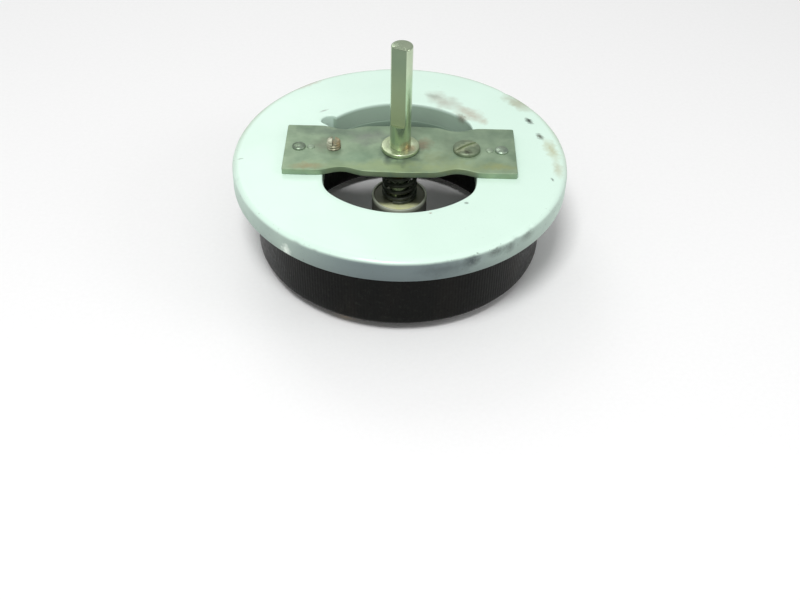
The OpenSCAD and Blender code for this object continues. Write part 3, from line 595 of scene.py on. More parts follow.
tree.links.new(gloss.outputs[0], shader.inputs["Roughness"])
peel = add(tree, "TexNoise", {"Vector": here, "Scale": 1000 / 2.6, "Detail": 2.0})
relief = add(tree, "Bump", {"Strength": 0.25, "Distance": 0.0003, "Height": peel})
tree.links.new(relief.outputs[0], shader.inputs["Normal"])
put(
    "enamelled_winding", loft(np.stack([r * np.cos(az), r * np.sin(az), z], -1), ring=True),
    enamel, "stator", "enamel_coat", 50,
)

# ---- Mounting bar ----
# Punched from 3 mm steel strip and dull plated, with a waist on each side of a slightly full middle.
# It holds the bushing, takes the two panel screws, and two rivets hold it to the base.

BAR_L, BAR_W, BAR_T = 104.8, 34.9, 3.0
STUD_AT, SCREW_AT, TAPPED_R, BUSHING_HOLE_R = (-30.15, 0), (30.15, 0), 3.18, 6.62
WAIST_X, WAIST_HALF, WAIST_DEPTH, BULGE = 26, 11, 2.7, 0.7
CORNER_R, END_EDGE_R = 0.9, 0.3


def bar_half(x):
    """Half the bar's width at x: raised cosines take the waists off and add the bulge at the middle."""
    a = np.abs(x)
    waist = np.where(np.abs(a - WAIST_X) < WAIST_HALF, (1 + np.cos(np.pi * (a - WAIST_X) / WAIST_HALF)) / 2, 0)
    full = np.where(a < WAIST_X, (1 + np.cos(np.pi * x / WAIST_X)) / 2, 0)
    return BAR_W / 2 - WAIST_DEPTH * waist + BULGE * full


def quarter_round(r, depth):
    """How far a quarter round of radius r draws an edge in, at that depth: r - sqrt(r^2 - (r - depth)^2)."""
    return np.where(depth < r, r - np.sqrt(np.maximum(r**2 - (r - depth) ** 2, 0)), 0)


def stained(material, *patches):
    """Lays smears of centre, half size, turn, colour and strength over a metal's own tones."""
    tree, shader, here = nodes_of(material)
    for centre, size, degrees, code, strength in patches:
        under = shader.inputs["Base Color"].links[0].from_socket
        mask = smear(tree, here, centre, size, degrees, 0.9)
        tree.links.new(over(tree, mask, under, tint(code), strength), shader.inputs["Base Color"])
    return material


# A rounded rectangle is carried along x, and drawn in at both ends of the strip
inset = BAR_L / 2 - np.array([0, 0.03, 0.1, 0.2, 0.35, 0.5, 0.7, 1.0])
x = np.concatenate([-inset, np.linspace(-51, 51, 130), inset[::-1]])
to_end = BAR_L / 2 - np.abs(x)
half = bar_half(x) - quarter_round(CORNER_R, to_end) + 0.03 * np.sin(x * 1.3) * np.sin(x * 0.37)
section = rounded([(-1, -1), (1, -1), (1, 1), (-1, 1)], 0.3, 5)
way_out = np.sign(section)
round_y, round_z = ((np.abs(section) - 1) * 1.15).T
y = way_out[:, 0] * (half[:, None] + round_y)
z = -BAR_T / 2 + way_out[:, 1] * (BAR_T / 2 - quarter_round(END_EDGE_R, to_end)[:, None] + round_z)
bar_shape = loft(np.stack([np.repeat(x[:, None], len(section), 1), y, z], -1))

# Dull zinc plated strip: grey-green, clouded, with faint rust at its edges and a dark ring of painted shadow
# round the collar at the shaft
dull_plate = stained(
    worn_metal("dull_plated_strip", "#82997F", "#9DB396", 11, 0.5, (9, 0.35, 2), 0.5),
    ((-15, -15, 0), (46, 7), 0, "#9BAF83", 0.6),
    ((20, -14, 0), (44, 7), 0, "#A0AF80", 0.6),
    ((38, 12, 0), (26, 7), 0, "#788D79", 0.5),
    ((-30, 13, 0), (24, 5), 0, "#6C7B70", 0.55),
    ((-41, -14.5, 0), (9, 3), 4, "#A58A66", 0.5),
    ((9.5, 3.5, 0), (7, 5), 20, "#8E6A54", 0.5),
    ((44, -12.5, 0), (9, 3), 0, "#A0A467", 0.5),
    ((-14, 9, 0), (12, 7), 10, "#77727A", 0.45),
    ((-34, 2, 0), (8, 6), 30, "#7F756A", 0.4),
    ((16, -6, 0), (10, 6), -15, "#8C9468", 0.4),
    ((-20, -7, 0), (10, 5), 10, "#7B9A80", 0.4),
    ((24, 4, 0), (12, 8), 0, "#808E78", 0.4),
    # Painted shadow: a dark ring round the shaft, of which a crescent shows in front of the collar
    ((0, -2.2, 0), (11.8, 11.6), 0, "#26333A", 0.95),
)
bar = put("mounting_strip", bar_shape, dull_plate, "stator", "mounting_bar")
carve(
    bar, rod(BUSHING_HOLE_R, -4, 1),
    *[rod(TAPPED_R, -4, 1, p) for p in (STUD_AT, SCREW_AT)],
    *[rod(RIVET_HOLE_R, -4, 1, p) for p in RIVETS_AT],
    *[rod(PIN_HOLE_R, -4, 1, p) for p in PINS_AT],
)

# ---- Rivets and locating pins ----
# Two steel rivets are headed over in pockets behind the base, with low domes in front.
# A small pin beside each keeps the bar from turning on the base.

dome = [(3.1 * math.cos(a), 0.2 + 1.1 * math.sin(a)) for a in np.linspace(0, np.pi / 2, 9)[:-1]]
rivet = [(0, -12.7), (2.8, -12.7), (3.1, -12.3), (3.1, -10.9), (1.9, -10.9), (1.9, 0), (3.05, 0)] + dome
rivet += [(0, 1.3)]
# Plated steel: bright where the rivet set pressed it, and the left dome is darkened with painted shade
rivet_plate = stained(
    worn_metal("plated_rivet_steel", "#8FA291", "#A9BBA6", 2.5, 0.36, (1, 1, 1), 0.85),
    # The first smear darkens the left dome: painted shade
    ((-46, 0, 1), (6, 6), 20, "#71836B", 0.9), ((47, 1.2, 1), (2, 1.5), 0, "#8E9A86", 0.5),
)
put(
    "bar_rivet_pair", together(*[lathe(rivet, 48, p) for p in RIVETS_AT]),
    rivet_plate, "stator", "bar_rivets", 50,
)
# Plated like the bar: small dull dots that hardly stand out from it
peg = [(0, -9), (1.6, -9), (1.8, -8.8), (1.8, 0.15), (1.55, 0.42), (0.8, 0.6), (0, 0.65)]
put(
    "locating_peg_pair", together(*[lathe(peg, 32, p) for p in PINS_AT]),
    worn_metal("dull_plated_peg", "#879A84", "#9DB098", 3, 0.5, (0.8, 0.8, 0.8), 0.4),
    "stator", "locating_pins",
)

# ---- Panel screws ----
# A headless slotted stud stays in the left hole and a binding head screw in the right one.
# Both have a quarter inch thread, 20 turns to the inch, cut in plated steel.

THREAD_R, PITCH, SCREW_END, STUD_TOP = 3.155, 1.27, -12, 4
HEAD_R, HEAD_HIGH, HEAD_DOME = 6.2, 2.6, 1.56


def threaded(r, low, high, pitch, at=(0, 0), bevel=0.6):
    """A screw thread: radius r - 0.5 pitch |2 frac(z / pitch - t / 2 pi) - 1|^1.2, bevelled at both ends."""
    z = np.linspace(low, high, int((high - low) / pitch * 8) + 1)[:, None]
    t = np.linspace(0, 2 * np.pi, 40, endpoint=False)[None, :]
    wave = np.abs(2 * ((z / pitch - t / (2 * np.pi)) % 1) - 1)
    bevelled = r - bevel + np.minimum(z - low, high - z) * 1.2
    radius = np.minimum(r - 0.5 * pitch * wave**1.2, bevelled)
    x, y = at[0] + radius * np.cos(t), at[1] + radius * np.sin(t)
    return loft(np.stack([x, y, z + 0 * t], -1))


def saw_cut(at, degrees, wide, low, high, half_long):
    """A box to cut a slot with, turned about the screw's own axis."""
    c, s = math.cos(math.radians(degrees)), math.sin(math.radians(degrees))
    a = np.array([(-1, -1), (1, -1), (1, 1), (-1, 1)]) * (half_long, wide / 2)
    plan = np.stack([at[0] + c * a[:, 0] - s * a[:, 1], at[1] + s * a[:, 0] + c * a[:, 1]], -1)
    return loft(np.stack([np.column_stack([plan, np.full(4, h)]) for h in (low, high)]))


# Worn plating: dull grey thread, with a painted highlight down its left side and brown where the steel shows
warm_plate = stained(
    worn_metal("worn_stud_plate", "#83846C", "#9A9A80", 2.2, 0.45, (1, 1, 0.4), 0.45),
    # The pale streak on the left is a painted highlight
    ((-32.4, -0.5, 3.2), (2.0, 4.2), 0, "#D9DEC6", 0.95), ((-28.0, 0, 2), (2.0, 4.2), 0, "#AC966F", 0.85),
)
stud = put(
    "slotted_panel_stud", threaded(THREAD_R, SCREW_END, STUD_TOP, PITCH, STUD_AT),
    warm_plate, "stator", "slotted_stud", 50,
)
carve(stud, saw_cut(STUD_AT, 90, 1.2, 2.2, STUD_TOP + 1, 4), sharp=50)

crown = [
    (HEAD_R * math.cos(a), HEAD_HIGH - HEAD_DOME + HEAD_DOME * math.sin(a))
    for a in np.linspace(0, np.pi / 2, 10)[:-1]
]
button = lathe([(0, 0), (HEAD_R - 0.3, 0), (HEAD_R, 0.25)] + crown + [(0, HEAD_HIGH)], 64, SCREW_AT)
# Plated like the bar: an olive head, with a painted highlight along its slot and painted shadow on its near
# side
olive_plate = stained(
    worn_metal("binding_screw_plate", "#74836B", "#87967B", 3.5, 0.5, (0.8, 0.8, 0.8), 0.55),
    # Painted shadow at the head's near left and near edge, and a painted highlight along the slot
    ((27.5, -2.4, 2), (5, 3.4), 36, "#6B6C54", 0.6), ((30.5, 0.3, 1.6), (8, 2.4), 36, "#B9C6A2", 0.8),
    ((30.5, -4.6, 1.5), (2.4, 1.5), 0, "#3A3A2E", 0.85),
)
binding = put(
    "binding_screw", together(button, threaded(THREAD_R, SCREW_END, 0.6, PITCH, SCREW_AT)),
    olive_plate, "stator", "binding_head_screw", 50,
)
carve(binding, saw_cut(SCREW_AT, 36, 1.5, 1.4, HEAD_HIGH + 1.4, 9), sharp=50)

# ---- Bushing and stop strap ----
# A turned brass bushing is swaged into the bar, and its flange holds the steel strap behind the bar.
# The strap's leg reaches down beside the hub and stops the hub's dog at both ends of its travel.


def softened(node, width, material, sharp=40):
    """A node's own shape with its edges broken: a merged copy, with flat faces joined, then bevelled."""
    mesh = frame["nodes"][node].data.copy()
    bm = bmesh.new()
    bm.from_mesh(mesh)
    bmesh.ops.remove_doubles(bm, verts=bm.verts, dist=2e-6)
    bmesh.ops.dissolve_limit(bm, angle_limit=math.radians(1), verts=bm.verts, edges=bm.edges)
    bm.to_mesh(mesh)
    bm.free()
    piece = bpy.data.objects.new(node + "_worn", mesh)
    bpy.context.scene.collection.objects.link(piece)
    edge = piece.modifiers.new("broken_edge", "BEVEL")
    edge.width, edge.segments, edge.limit_method, edge.angle_limit = width / 1000, 2, "ANGLE", math.radians(35)
    edge.use_clamp_overlap = True
    done = bpy.data.meshes.new_from_object(piece.evaluated_get(bpy.context.evaluated_depsgraph_get()))
    piece.modifiers.clear()
    for layer in list(done.attributes):
        if layer.name == "custom_normal":
            done.attributes.remove(layer)
    clean(done, sharp)
    done.materials.clear()
    done.materials.append(material)
    piece.data = done
    record = frame["record"]
    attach(piece, next(body for body, nodes in record["behaviour"]["bodies"].items() if node in nodes))
    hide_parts(node)


# Turned brass: deep yellow, with fine rings from the lathe
turned_brass = worn_metal("turned_brass", "#B08C4A", "#C7A968", 4, 0.3, (0.12, 1, 0.12), 0.95, turned=True)
put(
    "brass_bushing",
    lathe(
        rounded(
            [(4.64, 0), (4.64, -13), (6.2, -13), (6.2, -6.2), (9.5, -6.2), (9.5, -4.6), (6.6, -4.6), (6.6, 0)],
            [0.2, 0.3, 0.3, 0.1, 0.25, 0.05, 0.05, 0.15],
        ), 96,
    ),
    turned_brass, "stator", "shaft_bushing",
)
# Plated steel strip: warm grey over fine rolling marks
strap_plate = worn_metal("plated_steel_strap", "#6C6E68", "#85867D", 7, 0.42, (3, 0.4, 3), 0.8)
softened("stop_strap", 0.25, strap_plate)

# ---- Terminals and their screws ----
# Three tinned brass strips lie in the dead sector: two end the winding, and one bears on the slip ring.
# Each lug carries a slotted screw with a hexagon nut and a plain washer for a ring tag.

LUG_AZ, LUG_R, LUG_REAR, LUG_FRONT, WASHER_FRONT = (68, 90, 112), 72.05, -25.0, -24.0, -23.3

# Tin on brass: a pale satin grey, browner at the centre strip's bend
tinned = stained(
    worn_metal("tinned_strip", "#B4B6AC", "#C9CAC0", 5, 0.36, (0.5, 5, 5), 0.85),
    ((0, 66, -47), (9, 3), 0, "#8B867A", 0.5),
)
for strip in ("end_terminal_left", "end_terminal_right", "centre_terminal"):
    softened(strip, 0.18, tinned)


def polar(reach, degrees):
    """A point in plan at that reach from the shaft, in that direction."""
    return reach * math.cos(math.radians(degrees)), reach * math.sin(math.radians(degrees))


lug_at = [polar(LUG_R, a) for a in LUG_AZ]
pan = [(0, -27.2), (2.4, -27.2), (3.1, -26.9), (3.4, -26.3), (3.4, LUG_REAR), (0, LUG_REAR)]
# Zinc plated steel: cool, bright and a little blurred
bright_zinc = worn_metal("bright_zinc_screw", "#B9BDB2", "#D0D2C8", 2, 0.28, (0.6, 0.6, 0.6), 0.9)
screws = put(
    "terminal_screw_set",
    together(*[lathe(pan, 40, p) for p in lug_at], *[threaded(1.75, -25.4, -16, 0.8, p, 0.35) for p in lug_at]),
    bright_zinc, "stator", "terminal_screws", 50,
)
carve(screws, *[saw_cut(p, a + 25, 0.9, -28, -26.2, 5) for p, a in zip(lug_at, LUG_AZ)], sharp=50)


def hexagon(across, low, high, bore, at, degrees):
    """A nut: radius across / 2 / cos(t - 60 round(t / 60)), cut at both ends to its flats' circle."""
    t = np.radians(np.arange(0, 360, 2.5))
    six = across / 2 / np.cos(t - np.pi / 3 * np.round(t / (np.pi / 3)))
    small = np.minimum(six, across / 2 + 0.02)
    radius = np.stack([0 * t + bore, 0 * t + bore, small, six, six, small])
    h = np.array([high - 0.15, low + 0.15, low, low + 0.35, high - 0.35, high])[:, None] + 0 * t
    a = t + math.radians(degrees)
    return loft(np.stack([at[0] + radius * np.cos(a), at[1] + radius * np.sin(a), h], -1), ring=True)


# Nickelled brass: a warm bright grey with crisp glints along the hexagon's edges
put(
    "terminal_nut_set",
    together(*[hexagon(7.9, WASHER_FRONT, -20.3, 1.77, p, a) for p, a in zip(lug_at, LUG_AZ)]),
    worn_metal("nickelled_brass_nut", "#B8AE8C", "#CBC3A4", 2, 0.3, (0.5, 0.5, 0.3), 0.9),
    "stator", "terminal_nuts", 25,
)
# Zinc plated steel, stamped: duller and flatter than the screws
washer = rounded([(1.95, LUG_FRONT), (4.05, LUG_FRONT), (4.05, WASHER_FRONT), (1.95, WASHER_FRONT)], 0.12, 4)
put(
    "terminal_washer_set", together(*[lathe(washer, 48, p) for p in lug_at]),
    worn_metal("zinc_washer", "#B5B9AC", "#C8CABF", 2, 0.34, (0.6, 0.6, 0.6), 0.85),
    "stator", "terminal_washers",
)

# ---- Shaft and collar ----
# Three eighths inch steel, turned and plated, with one milled flat for the knob's set screw.
# A thin yellow zinc collar on its shoulder keeps it from sliding back through the bushing.

REST_AZ = 248
SHAFT_R, SHANK_R, JOURNAL_R, TIP_BEVEL = 4.7625, 4.75, 4.6, 0.75
SHAFT_REAR, SHOULDER, FLAT_FROM, TIP = -51, 2.1, 13.9, 52.6
FLAT_AT, BORE_R = 3.3825, 4.62

# Each row: height, round radius, whether the flat is cut there
levels = np.array(
    [(SHAFT_REAR, 4.2, 0), (SHAFT_REAR + 0.4, JOURNAL_R, 0), (-30, JOURNAL_R, 0), (SHOULDER, JOURNAL_R, 0)]
    + [(SHOULDER, SHANK_R - 0.1, 0), (SHOULDER + 0.1, SHANK_R, 0)]
    + [(h, SHANK_R, 0) for h in (6, 10, FLAT_FROM)]
    + [(h, SHAFT_R, 1) for h in (FLAT_FROM, FLAT_FROM + 0.05, 24, 34, 44, TIP - TIP_BEVEL)]
    + [
        (TIP - TIP_BEVEL * (1 - math.sin(a)), SHAFT_R - TIP_BEVEL * (1 - math.cos(a)), 1)
        for a in np.linspace(0.3, np.pi / 2, 5)
    ]
)
# The outline round the axis is a circle cut off by the flat: radius = flat / cos t, where that is less.
# It has points on both of the flat's edges, and the flat is drawn in with the tip's bevel.
corner = math.acos(FLAT_AT / SHAFT_R)
edges = [-corner, corner, -corner - 0.012, corner + 0.012]
t = np.sort(np.concatenate([np.linspace(-np.pi, np.pi, 120, endpoint=False), edges]))
drawn_in = np.minimum((SHAFT_R - levels[:, 1:2]) * levels[:, 2:], 0.6)
cut = (FLAT_AT - drawn_in) / np.maximum(np.cos(t), 0.2)
uncut = levels[:, 1:2] + 0 * t
radius = np.where((levels[:, 2:] > 0) & (np.cos(t) > 0.2), np.minimum(uncut, cut), uncut)
a = t + math.radians(REST_AZ)
shaft_shape = loft(np.stack([radius * np.cos(a), radius * np.sin(a), levels[:, :1] + 0 * t], -1))
# Plated steel: bright and greenish, finely marked by turning, with a little rust at its foot
shaft_plate = stained(
    worn_metal("plated_shaft_steel", "#B4C6A8", "#C9D8BA", 12, 0.18, (0.6, 0.6, 0.25), 0.88),
    ((2.5, -3.5, 3), (4, 4), 0, "#B98C62", 0.6),
)
# The mill has left the flat rougher than the turned round; its darker olive tone is a painted reflection of the
# bar and the dark hole, paler towards its lower end
tree, shader, here = nodes_of(shaft_plate)
facing = (*polar(1, REST_AZ), 0)
outward = add(tree, "VectorMath", {0: here, 1: facing}, operation="DOT_PRODUCT")
beside = add(tree, "MapRange", {"Value": outward.outputs["Value"], "From Min": 0.00345, "From Max": 0.00341})
near = add(tree, "MapRange", {"Value": outward.outputs["Value"], "From Min": 0.00325, "From Max": 0.00335})
height = add(tree, "SeparateXYZ", {0: here})
above = add(tree, "Math", {0: height.outputs["Z"], 1: FLAT_FROM / 1000}, operation="GREATER_THAN")
plane = add(tree, "Math", {0: beside, 1: near}, operation="MULTIPLY")
milled = add(tree, "Math", {0: plane, 1: above}, operation="MULTIPLY")
drift = add(tree, "TexNoise", {"Vector": here, "Scale": 1000 / 14, "Detail": 3.0})
low_down = add(tree, "MapRange", {"Value": height.outputs["Z"], "From Min": 0.046, "From Max": 0.02})
# The flat's darker olive is a painted reflection
flat_reflection_tone = over(tree, drift, tint("#7B8F78"), tint("#8C9C82"))
flat_reflection_tone = over(tree, low_down, flat_reflection_tone, tint("#B0BA94"), 0.8)
under = shader.inputs["Base Color"].links[0].from_socket
tree.links.new(over(tree, milled, under, flat_reflection_tone), shader.inputs["Base Color"])
gloss = shader.inputs["Roughness"].links[0].from_socket
rough = add(tree, "Mix", {0: milled, 2: gloss, 3: 0.48})
tree.links.new(rough.outputs[0], shader.inputs["Roughness"])
put("knob_shaft", shaft_shape, shaft_plate, "rotor", "shaft", 24)

# Yellow zinc on steel: a pale greenish gold with turned rings, and one rusty spot
collar_zinc = stained(
    worn_metal("yellow_zinc_collar", "#B7C8A0", "#C9D6B4", 3, 0.3, (0.15, 1, 0.15), 0.85, turned=True),
    ((5, -3, 2), (3, 3), 0, "#B98F68", 0.5),
)
collar = rounded([(BORE_R, 0.3), (8.6, 0.3), (8.6, SHOULDER), (BORE_R, SHOULDER)], [0.1, 0.4, 0.55, 0.15])
put("zinc_collar", lathe(collar, 96), collar_zinc, "rotor", "retaining_collar")

# ---- Spring and its seat ----
# Six turns of dark spring wire, closed and ground at both ends, press the brush against its track.
# The spring stands on a bright yellow zinc washer in the hub's mouth.

SEAT_REAR, SEAT_TOP, SEAT_R = -27.4, -26.2, 11.88
SPRING_TOP, SPRING_R, SPRING_WIRE = -6.3, 7.3, 0.85
STEPS_A_TURN = 72

# A round section is carried up a helix: the first and last turns rise by a wire, the four between them
# share the rest, a moving mean rounds the change, and both ends are ground flat
step = np.arange(6 * STEPS_A_TURN + 1) / STEPS_A_TURN
closed = 2 * SPRING_WIRE + 0.05
free = (SPRING_TOP - SEAT_TOP - 2 * SPRING_WIRE - 2 * closed) / 4
rise = np.interp(step, [0, 1, 5, 6], [0, closed, closed + 4 * free, 2 * closed + 4 * free])
rise = np.convolve(np.pad(rise, 12, mode="reflect", reflect_type="odd"), np.ones(25) / 25, mode="valid")
a = np.radians(REST_AZ) + 2 * np.pi * step[:, None]
k = np.linspace(0, 2 * np.pi, 16, endpoint=False)
wire_r = SPRING_R + SPRING_WIRE * np.cos(k)
z = np.clip(SEAT_TOP + SPRING_WIRE + rise[:, None] + SPRING_WIRE * np.sin(k), SEAT_TOP, SPRING_TOP)
# Oiled spring steel: dark grey, with a dull sheen
put(
    "pressure_spring", loft(np.stack([wire_r * np.cos(a), wire_r * np.sin(a), z], -1)),
    worn_metal("dark_spring_wire", "#4B4F46", "#62675B", 3, 0.5, (1.2, 1.2, 0.3), 0.6),
    "rotor", "compression_spring", 60,
)

# Yellow zinc on steel: pale and bright, with painted shadow of the bar over all but its near part
seat_plate = worn_metal("bright_yellow_zinc", "#EDF2B4", "#F3F6C8", 3, 0.5, (0.15, 1, 0.15), 0.1, turned=True)
tree, shader, here = nodes_of(seat_plate)
blur = add(tree, "TexNoise", {"Vector": here, "Scale": 1000 / 5, "Detail": 3.0})
wavy = add(tree, "Math", {0: blur, 1: 0.003}, operation="MULTIPLY")
place = add(tree, "SeparateXYZ", {0: here})
shifted = add(tree, "Math", {0: place.outputs["Y"], 1: wavy}, operation="ADD")
# Painted shadow of the bar: a dark tone over the washer behind its near part
bar_shadow = add(tree, "MapRange", {"Value": shifted, "From Min": -0.0068, "From Max": -0.0042})
under = shader.inputs["Base Color"].links[0].from_socket
tree.links.new(over(tree, bar_shadow, under, tint("#2C3025"), 0.9), shader.inputs["Base Color"])
seat = rounded(
    [(BORE_R, SEAT_REAR), (SEAT_R, SEAT_REAR), (SEAT_R, SEAT_TOP), (BORE_R, SEAT_TOP)], [0.1, 0.3, 0.4, 0.2]
)
put("spring_washer", lathe(seat, 96), seat_plate, "rotor", "spring_seat")

# ---- Hub ----
# Turned from grey ceramic, it insulates the arm from the shaft, and a cross pin holds it there.
# A dog on its side meets the stop strap, and its rear end is the part's foot.

MOUTH_R, HUB_R, NECK_R, GROOVE_R = 11.9, 12.9, 10.9, 10.3
HUB_FRONT, HUB_REAR, GROOVE_FRONT, GROOVE_REAR, FOOT = -25.5, -46.9, -49.82, -50.86, -52
CROSS_Z, CROSS_R, CROSS_HALF, CROSS_HOLE_R = -41.5, 1.6, 12.6, 1.62
DOG_IN, DOG_OUT, DOG_REAR, DOG_FRONT = 11.6, 18.2, -36.5, -32.5
# Half the dog's width: 20 degrees from the stop's leg, 5 mm wide and 15.75 mm out, 0.1 mm is left between
DOG_HALF = 15.75 * math.sin(math.radians(20)) - 2.5 * math.cos(math.radians(20)) - 0.1


def on_arm(shape):
    """A shape drawn along +x, turned to the arm's direction at rest: (x, y) goes to (c x - s y, s x + c y)."""
    p, faces = shape
    c, s = polar(1, REST_AZ)
    return np.stack([c * p[:, 0] - s * p[:, 1], s * p[:, 0] + c * p[:, 1], p[:, 2]], -1), faces


def laid_down(shape):
    """An upright shape laid across the arm at the cross pin's height: (x, y, z) goes to (x, z, y + height)."""
    p, faces = shape
    return np.stack([p[:, 0], p[:, 2], p[:, 1] + CROSS_Z], -1), faces


# Each row: a corner's radius and height, and the size of its rounding
hub_corners = np.array(
    [
        (BORE_R, FOOT, 0.2), (NECK_R, FOOT, 0.4), (NECK_R, GROOVE_REAR, 0.1), (GROOVE_R, GROOVE_REAR, 0.05),
        (GROOVE_R, GROOVE_FRONT, 0.05), (NECK_R, GROOVE_FRONT, 0.1), (NECK_R, HUB_REAR, 0.1),
        (HUB_R, HUB_REAR, 0.3), (HUB_R, HUB_FRONT, 0.4), (MOUTH_R, HUB_FRONT, 0.35),
        (MOUTH_R, SEAT_REAR, 0.1), (BORE_R, SEAT_REAR, 0.2),
    ]
)
hub_ring = lathe(rounded(hub_corners[:, :2], hub_corners[:, 2]), 144)
# The dog is a rounded block that is drawn in by a twelfth over its last 0.3 mm on either side
block = rounded(
    [(DOG_IN, DOG_REAR), (DOG_OUT, DOG_REAR), (DOG_OUT, DOG_FRONT), (DOG_IN, DOG_FRONT)], [0.02, 0.5, 0.5, 0.02]
)
across = np.array([-DOG_HALF, -DOG_HALF + 0.3, DOG_HALF - 0.3, DOG_HALF])[:, None]
drawn_in = np.array([1, 0, 0, 1])[:, None, None] / 12
middle = block.mean(0)
section = middle + (block - middle) * (1 - drawn_in)
dog = on_arm(loft(np.stack([section[..., 0], across + 0 * section[..., 0], section[..., 1]], -1)))

# Unglazed grey ceramic: a matt dark body with cloudy tones, and a pale rim round its mouth
grey_body, tree, shader, here = blank("grey_turned_ceramic", {"IOR": 1.5})
clouds = add(tree, "TexNoise", {"Vector": here, "Scale": 1000 / 8, "Detail": 5.0})
tree.links.new(over(tree, clouds, tint("#4C4F47"), tint("#64675C")), shader.inputs["Base Color"])
height = add(tree, "SeparateXYZ", {0: here})
pale = add(tree, "MapRange", {"Value": height.outputs["Z"], "From Min": -0.0278, "From Max": -0.0262})
under = shader.inputs["Base Color"].links[0].from_socket
tree.links.new(over(tree, pale, under, tint("#C9D0BC"), 0.9), shader.inputs["Base Color"])
grit = add(tree, "TexNoise", {"Vector": here, "Scale": 1000 / 0.7, "Detail": 3.0})
gloss = add(tree, "MapRange", {"Value": grit, "To Min": 0.4, "To Max": 0.65})
tree.links.new(gloss.outputs[0], shader.inputs["Roughness"])
relief = add(tree, "Bump", {"Strength": 0.25, "Distance": 0.0001, "Height": grit})
tree.links.new(relief.outputs[0], shader.inputs["Normal"])
hub = put("ceramic_hub", together(hub_ring, dog), grey_body, "rotor", "hub")
carve(hub, on_arm(laid_down(rod(CROSS_HOLE_R, -14, 14, steps=40))))

half_pin = [(0, CROSS_HALF), (CROSS_R - 0.3, CROSS_HALF), (CROSS_R, CROSS_HALF - 0.3)]
cross_pin = [(r, -h) for r, h in half_pin] + half_pin[::-1]
# Ground steel: clean and bright, since nobody touches it
bright_pin = worn_metal("bright_steel_pin", "#A9ADA2", "#BFC2B8", 2, 0.26, (0.5, 0.5, 0.5), 0.9)
put("hub_cross_pin", on_arm(laid_down(lathe(cross_pin, 40))), bright_pin, "rotor", "hub_pin")

# ---- Slip ring and contact arm ----
# A brass ring riveted to a spring steel arm passes the current from the moving brush to the centre strip.
# The arm reaches out behind the core, and the brush in its tip rides on the bare turns.

ARM_REAR, ARM_FRONT, SLIP_OUT, SLIP_IN, SLIP_FRONT = -49.8, -48.9, 17, 10.92, -46.9

# The slip ring's front has a shallow worn track, 0.06 mm deep
slip_ring = rounded(
    [
        (SLIP_IN, ARM_FRONT), (SLIP_OUT, ARM_FRONT), (SLIP_OUT, SLIP_FRONT), (16.2, SLIP_FRONT),
        (16.1, SLIP_FRONT - 0.06), (13.6, SLIP_FRONT - 0.06), (13.5, SLIP_FRONT), (SLIP_IN, SLIP_FRONT),
    ],
    [0.05, 0.2, 0.2, 0.03, 0.03, 0.03, 0.03, 0.1],
)
put("brass_slip_ring", lathe(slip_ring, 144), turned_brass, "rotor", "slip_ring")
# Rolled spring steel: cool grey, with long fine streaks that run nearly along the arm
spring_strip = worn_metal("spring_steel_strip", "#8F908A", "#A6A79F", 6, 0.32, (0.35, 6, 3), 0.9)
softened("contact_arm", 0.12, spring_strip)

# Three rivets hold the slip ring and one the pigtail: direction from the arm's, reach, front end
dome = [(1.6 * math.cos(a), -49.9 - 0.7 * math.sin(a)) for a in np.linspace(np.pi / 2, 0, 7)[1:]]
rivet = [(0, -50.6)] + dome + [(1.6, ARM_REAR), (1.1, ARM_REAR)]
rivets = [
    lathe(rivet + [(1.1, front), (0, front)], 32, polar(reach, degrees))
    for degrees, reach, front in (
        (90, 15.2, -46.92), (180, 15.2, -46.92), (270, 15.2, -46.92), (0, 21, ARM_FRONT),
    )
]
# Bare copper: warm pink brown, brighter where it was hammered or drawn
red_copper = worn_metal("copper", "#A9683F", "#C58A62", 2, 0.32, (0.5, 0.5, 0.5), 0.95)
put("arm_rivet_set", on_arm(together(*rivets)), red_copper, "rotor", "arm_rivets", 50)

cup = [(0, -51.5), (4.1, -51.5), (4.37, -51.25), (4.37, -50.4), (5.2, -50.4), (5.37, -50.25), (5.37, ARM_REAR)]
cup += [(4.37, ARM_REAR), (4.37, -48.95), (3.42, -48.95), (3.42, -50.9), (0, -50.9)]
# Drawn brass: bright yellow, with fine rings round the cup
cup_brass = worn_metal("drawn_brass_cup", "#B8944F", "#CDB274", 3, 0.28, (1.5, 1.5, 0.3), 0.95)
put("brush_cup", on_arm(lathe(cup, 72, (TRACK_R, 0))), cup_brass, "rotor", "brush_holder")

# Metal graphite: a soft black block glazed where it rubs, with copper flecks drawn coarse enough to show
graphite, tree, shader, here = blank("metal_graphite", {"Metallic": 0.4})
flecks = add(tree, "TexNoise", {"Vector": here, "Scale": 1000 / 0.35, "Detail": 2.0})
bright = add(tree, "MapRange", {"Value": flecks, "From Min": 0.6, "From Max": 0.68})
tree.links.new(over(tree, bright, tint("#2A2826"), tint("#8C5E42"), 0.7), shader.inputs["Base Color"])
gloss = add(tree, "MapRange", {"Value": flecks, "To Min": 0.35, "To Max": 0.6})
tree.links.new(gloss.outputs[0], shader.inputs["Roughness"])
brush = [(0, -50.88), (3.2, -50.88), (3.4, -50.7), (3.4, -47.35), (3.1, -47.1), (0, -47.06)]
put(
    "graphite_brush", on_arm(lathe(brush, 56, (TRACK_R, 0))),
    graphite, "rotor", "contact_brush",
)

# ---- Pigtail and retaining ring ----
# Seven soft copper strands, twisted, carry the current from the brush's cup to a rivet by the slip ring.
# A split ring of dark spring steel in the hub's groove holds arm and slip ring on the neck.

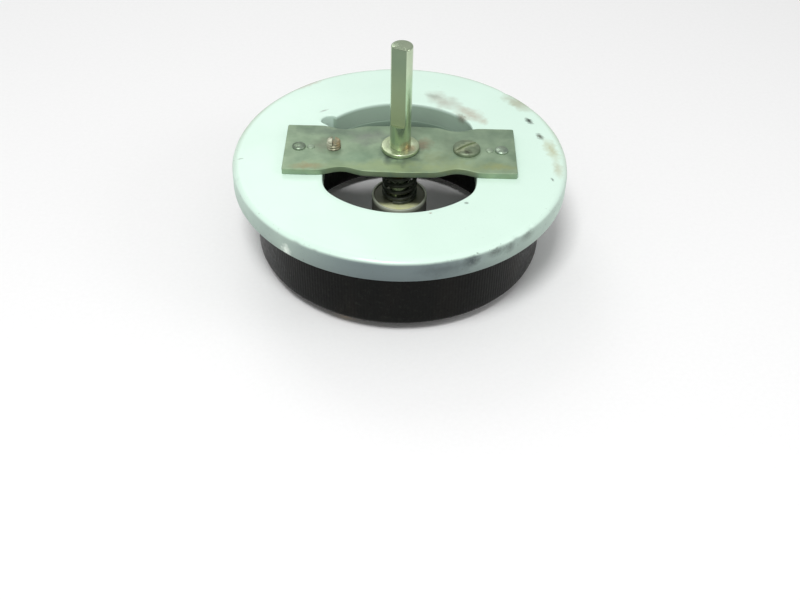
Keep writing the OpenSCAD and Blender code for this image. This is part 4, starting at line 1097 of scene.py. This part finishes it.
PIGTAIL_OUT, PIGTAIL_IN, PIGTAIL_Z, STRAND_R, STRAND_AWAY = 51.13, 22.7, -50.5, 0.2, 0.38
RING_IN, RING_OUT, RING_REAR, RING_FRONT = 10.34, 13.4, -50.82, -49.83

# The pigtail's line swings to one side on its way in. One strand follows it and six run round it,
# a sixth of a turn apart and five times about.
reach = np.linspace(0, 1, 150)
swing = np.interp(reach, [0, 0.1, 0.25, 0.45, 0.65, 0.85, 0.95, 1], [0, 0.6, 2.4, 3.6, 3.4, 1.5, 0.4, 0])
swing = np.convolve(np.pad(swing, 10, mode="edge"), np.ones(21) / 21, mode="valid")
inward = PIGTAIL_OUT - (PIGTAIL_OUT - PIGTAIL_IN) * reach
line = np.stack([inward, swing, 0 * reach + PIGTAIL_Z], -1)
along = np.gradient(line, axis=0)
along /= np.linalg.norm(along, axis=1)[:, None]
left = np.stack([-along[:, 1], along[:, 0], 0 * reach], -1)
k = np.linspace(0, 2 * np.pi, 8, endpoint=False)
strands = []
for n in range(7):
    lay = 2 * np.pi * (n / 6 + 5 * reach)[:, None]
    away = STRAND_AWAY if n else 0.0
    u = away * np.cos(lay) + STRAND_R * np.cos(k)
    v = away * np.sin(lay) + STRAND_R * np.sin(k)
    strands.append(loft(line[:, None] + left[:, None] * u[..., None] + np.array([0, 0, 1]) * v[..., None]))
put("copper_pigtail", on_arm(together(*strands)), red_copper, "rotor", "pigtail", 60)

open_arc = np.radians(np.linspace(REST_AZ + 200, REST_AZ + 520, 140))[:, None]
band = rounded(
    [(RING_IN, RING_REAR), (RING_OUT, RING_REAR), (RING_OUT, RING_FRONT), (RING_IN, RING_FRONT)], 0.15, 4
)
split_ring = loft(
    np.stack([band[:, 0] * np.cos(open_arc), band[:, 0] * np.sin(open_arc), band[:, 1] + 0 * open_arc], -1)
)
# Blued spring steel: a dark blue grey skin with a soft shine
blued = worn_metal("blued_spring_ring", "#3A3E44", "#4C5055", 4, 0.3, (0.3, 0.3, 0.3), 0.9)
put("split_retainer", split_ring, blued, "rotor", "retaining_ring")

size = {"cad": [list(c) for c in cad_box], "visual": [list(c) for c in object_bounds()]}
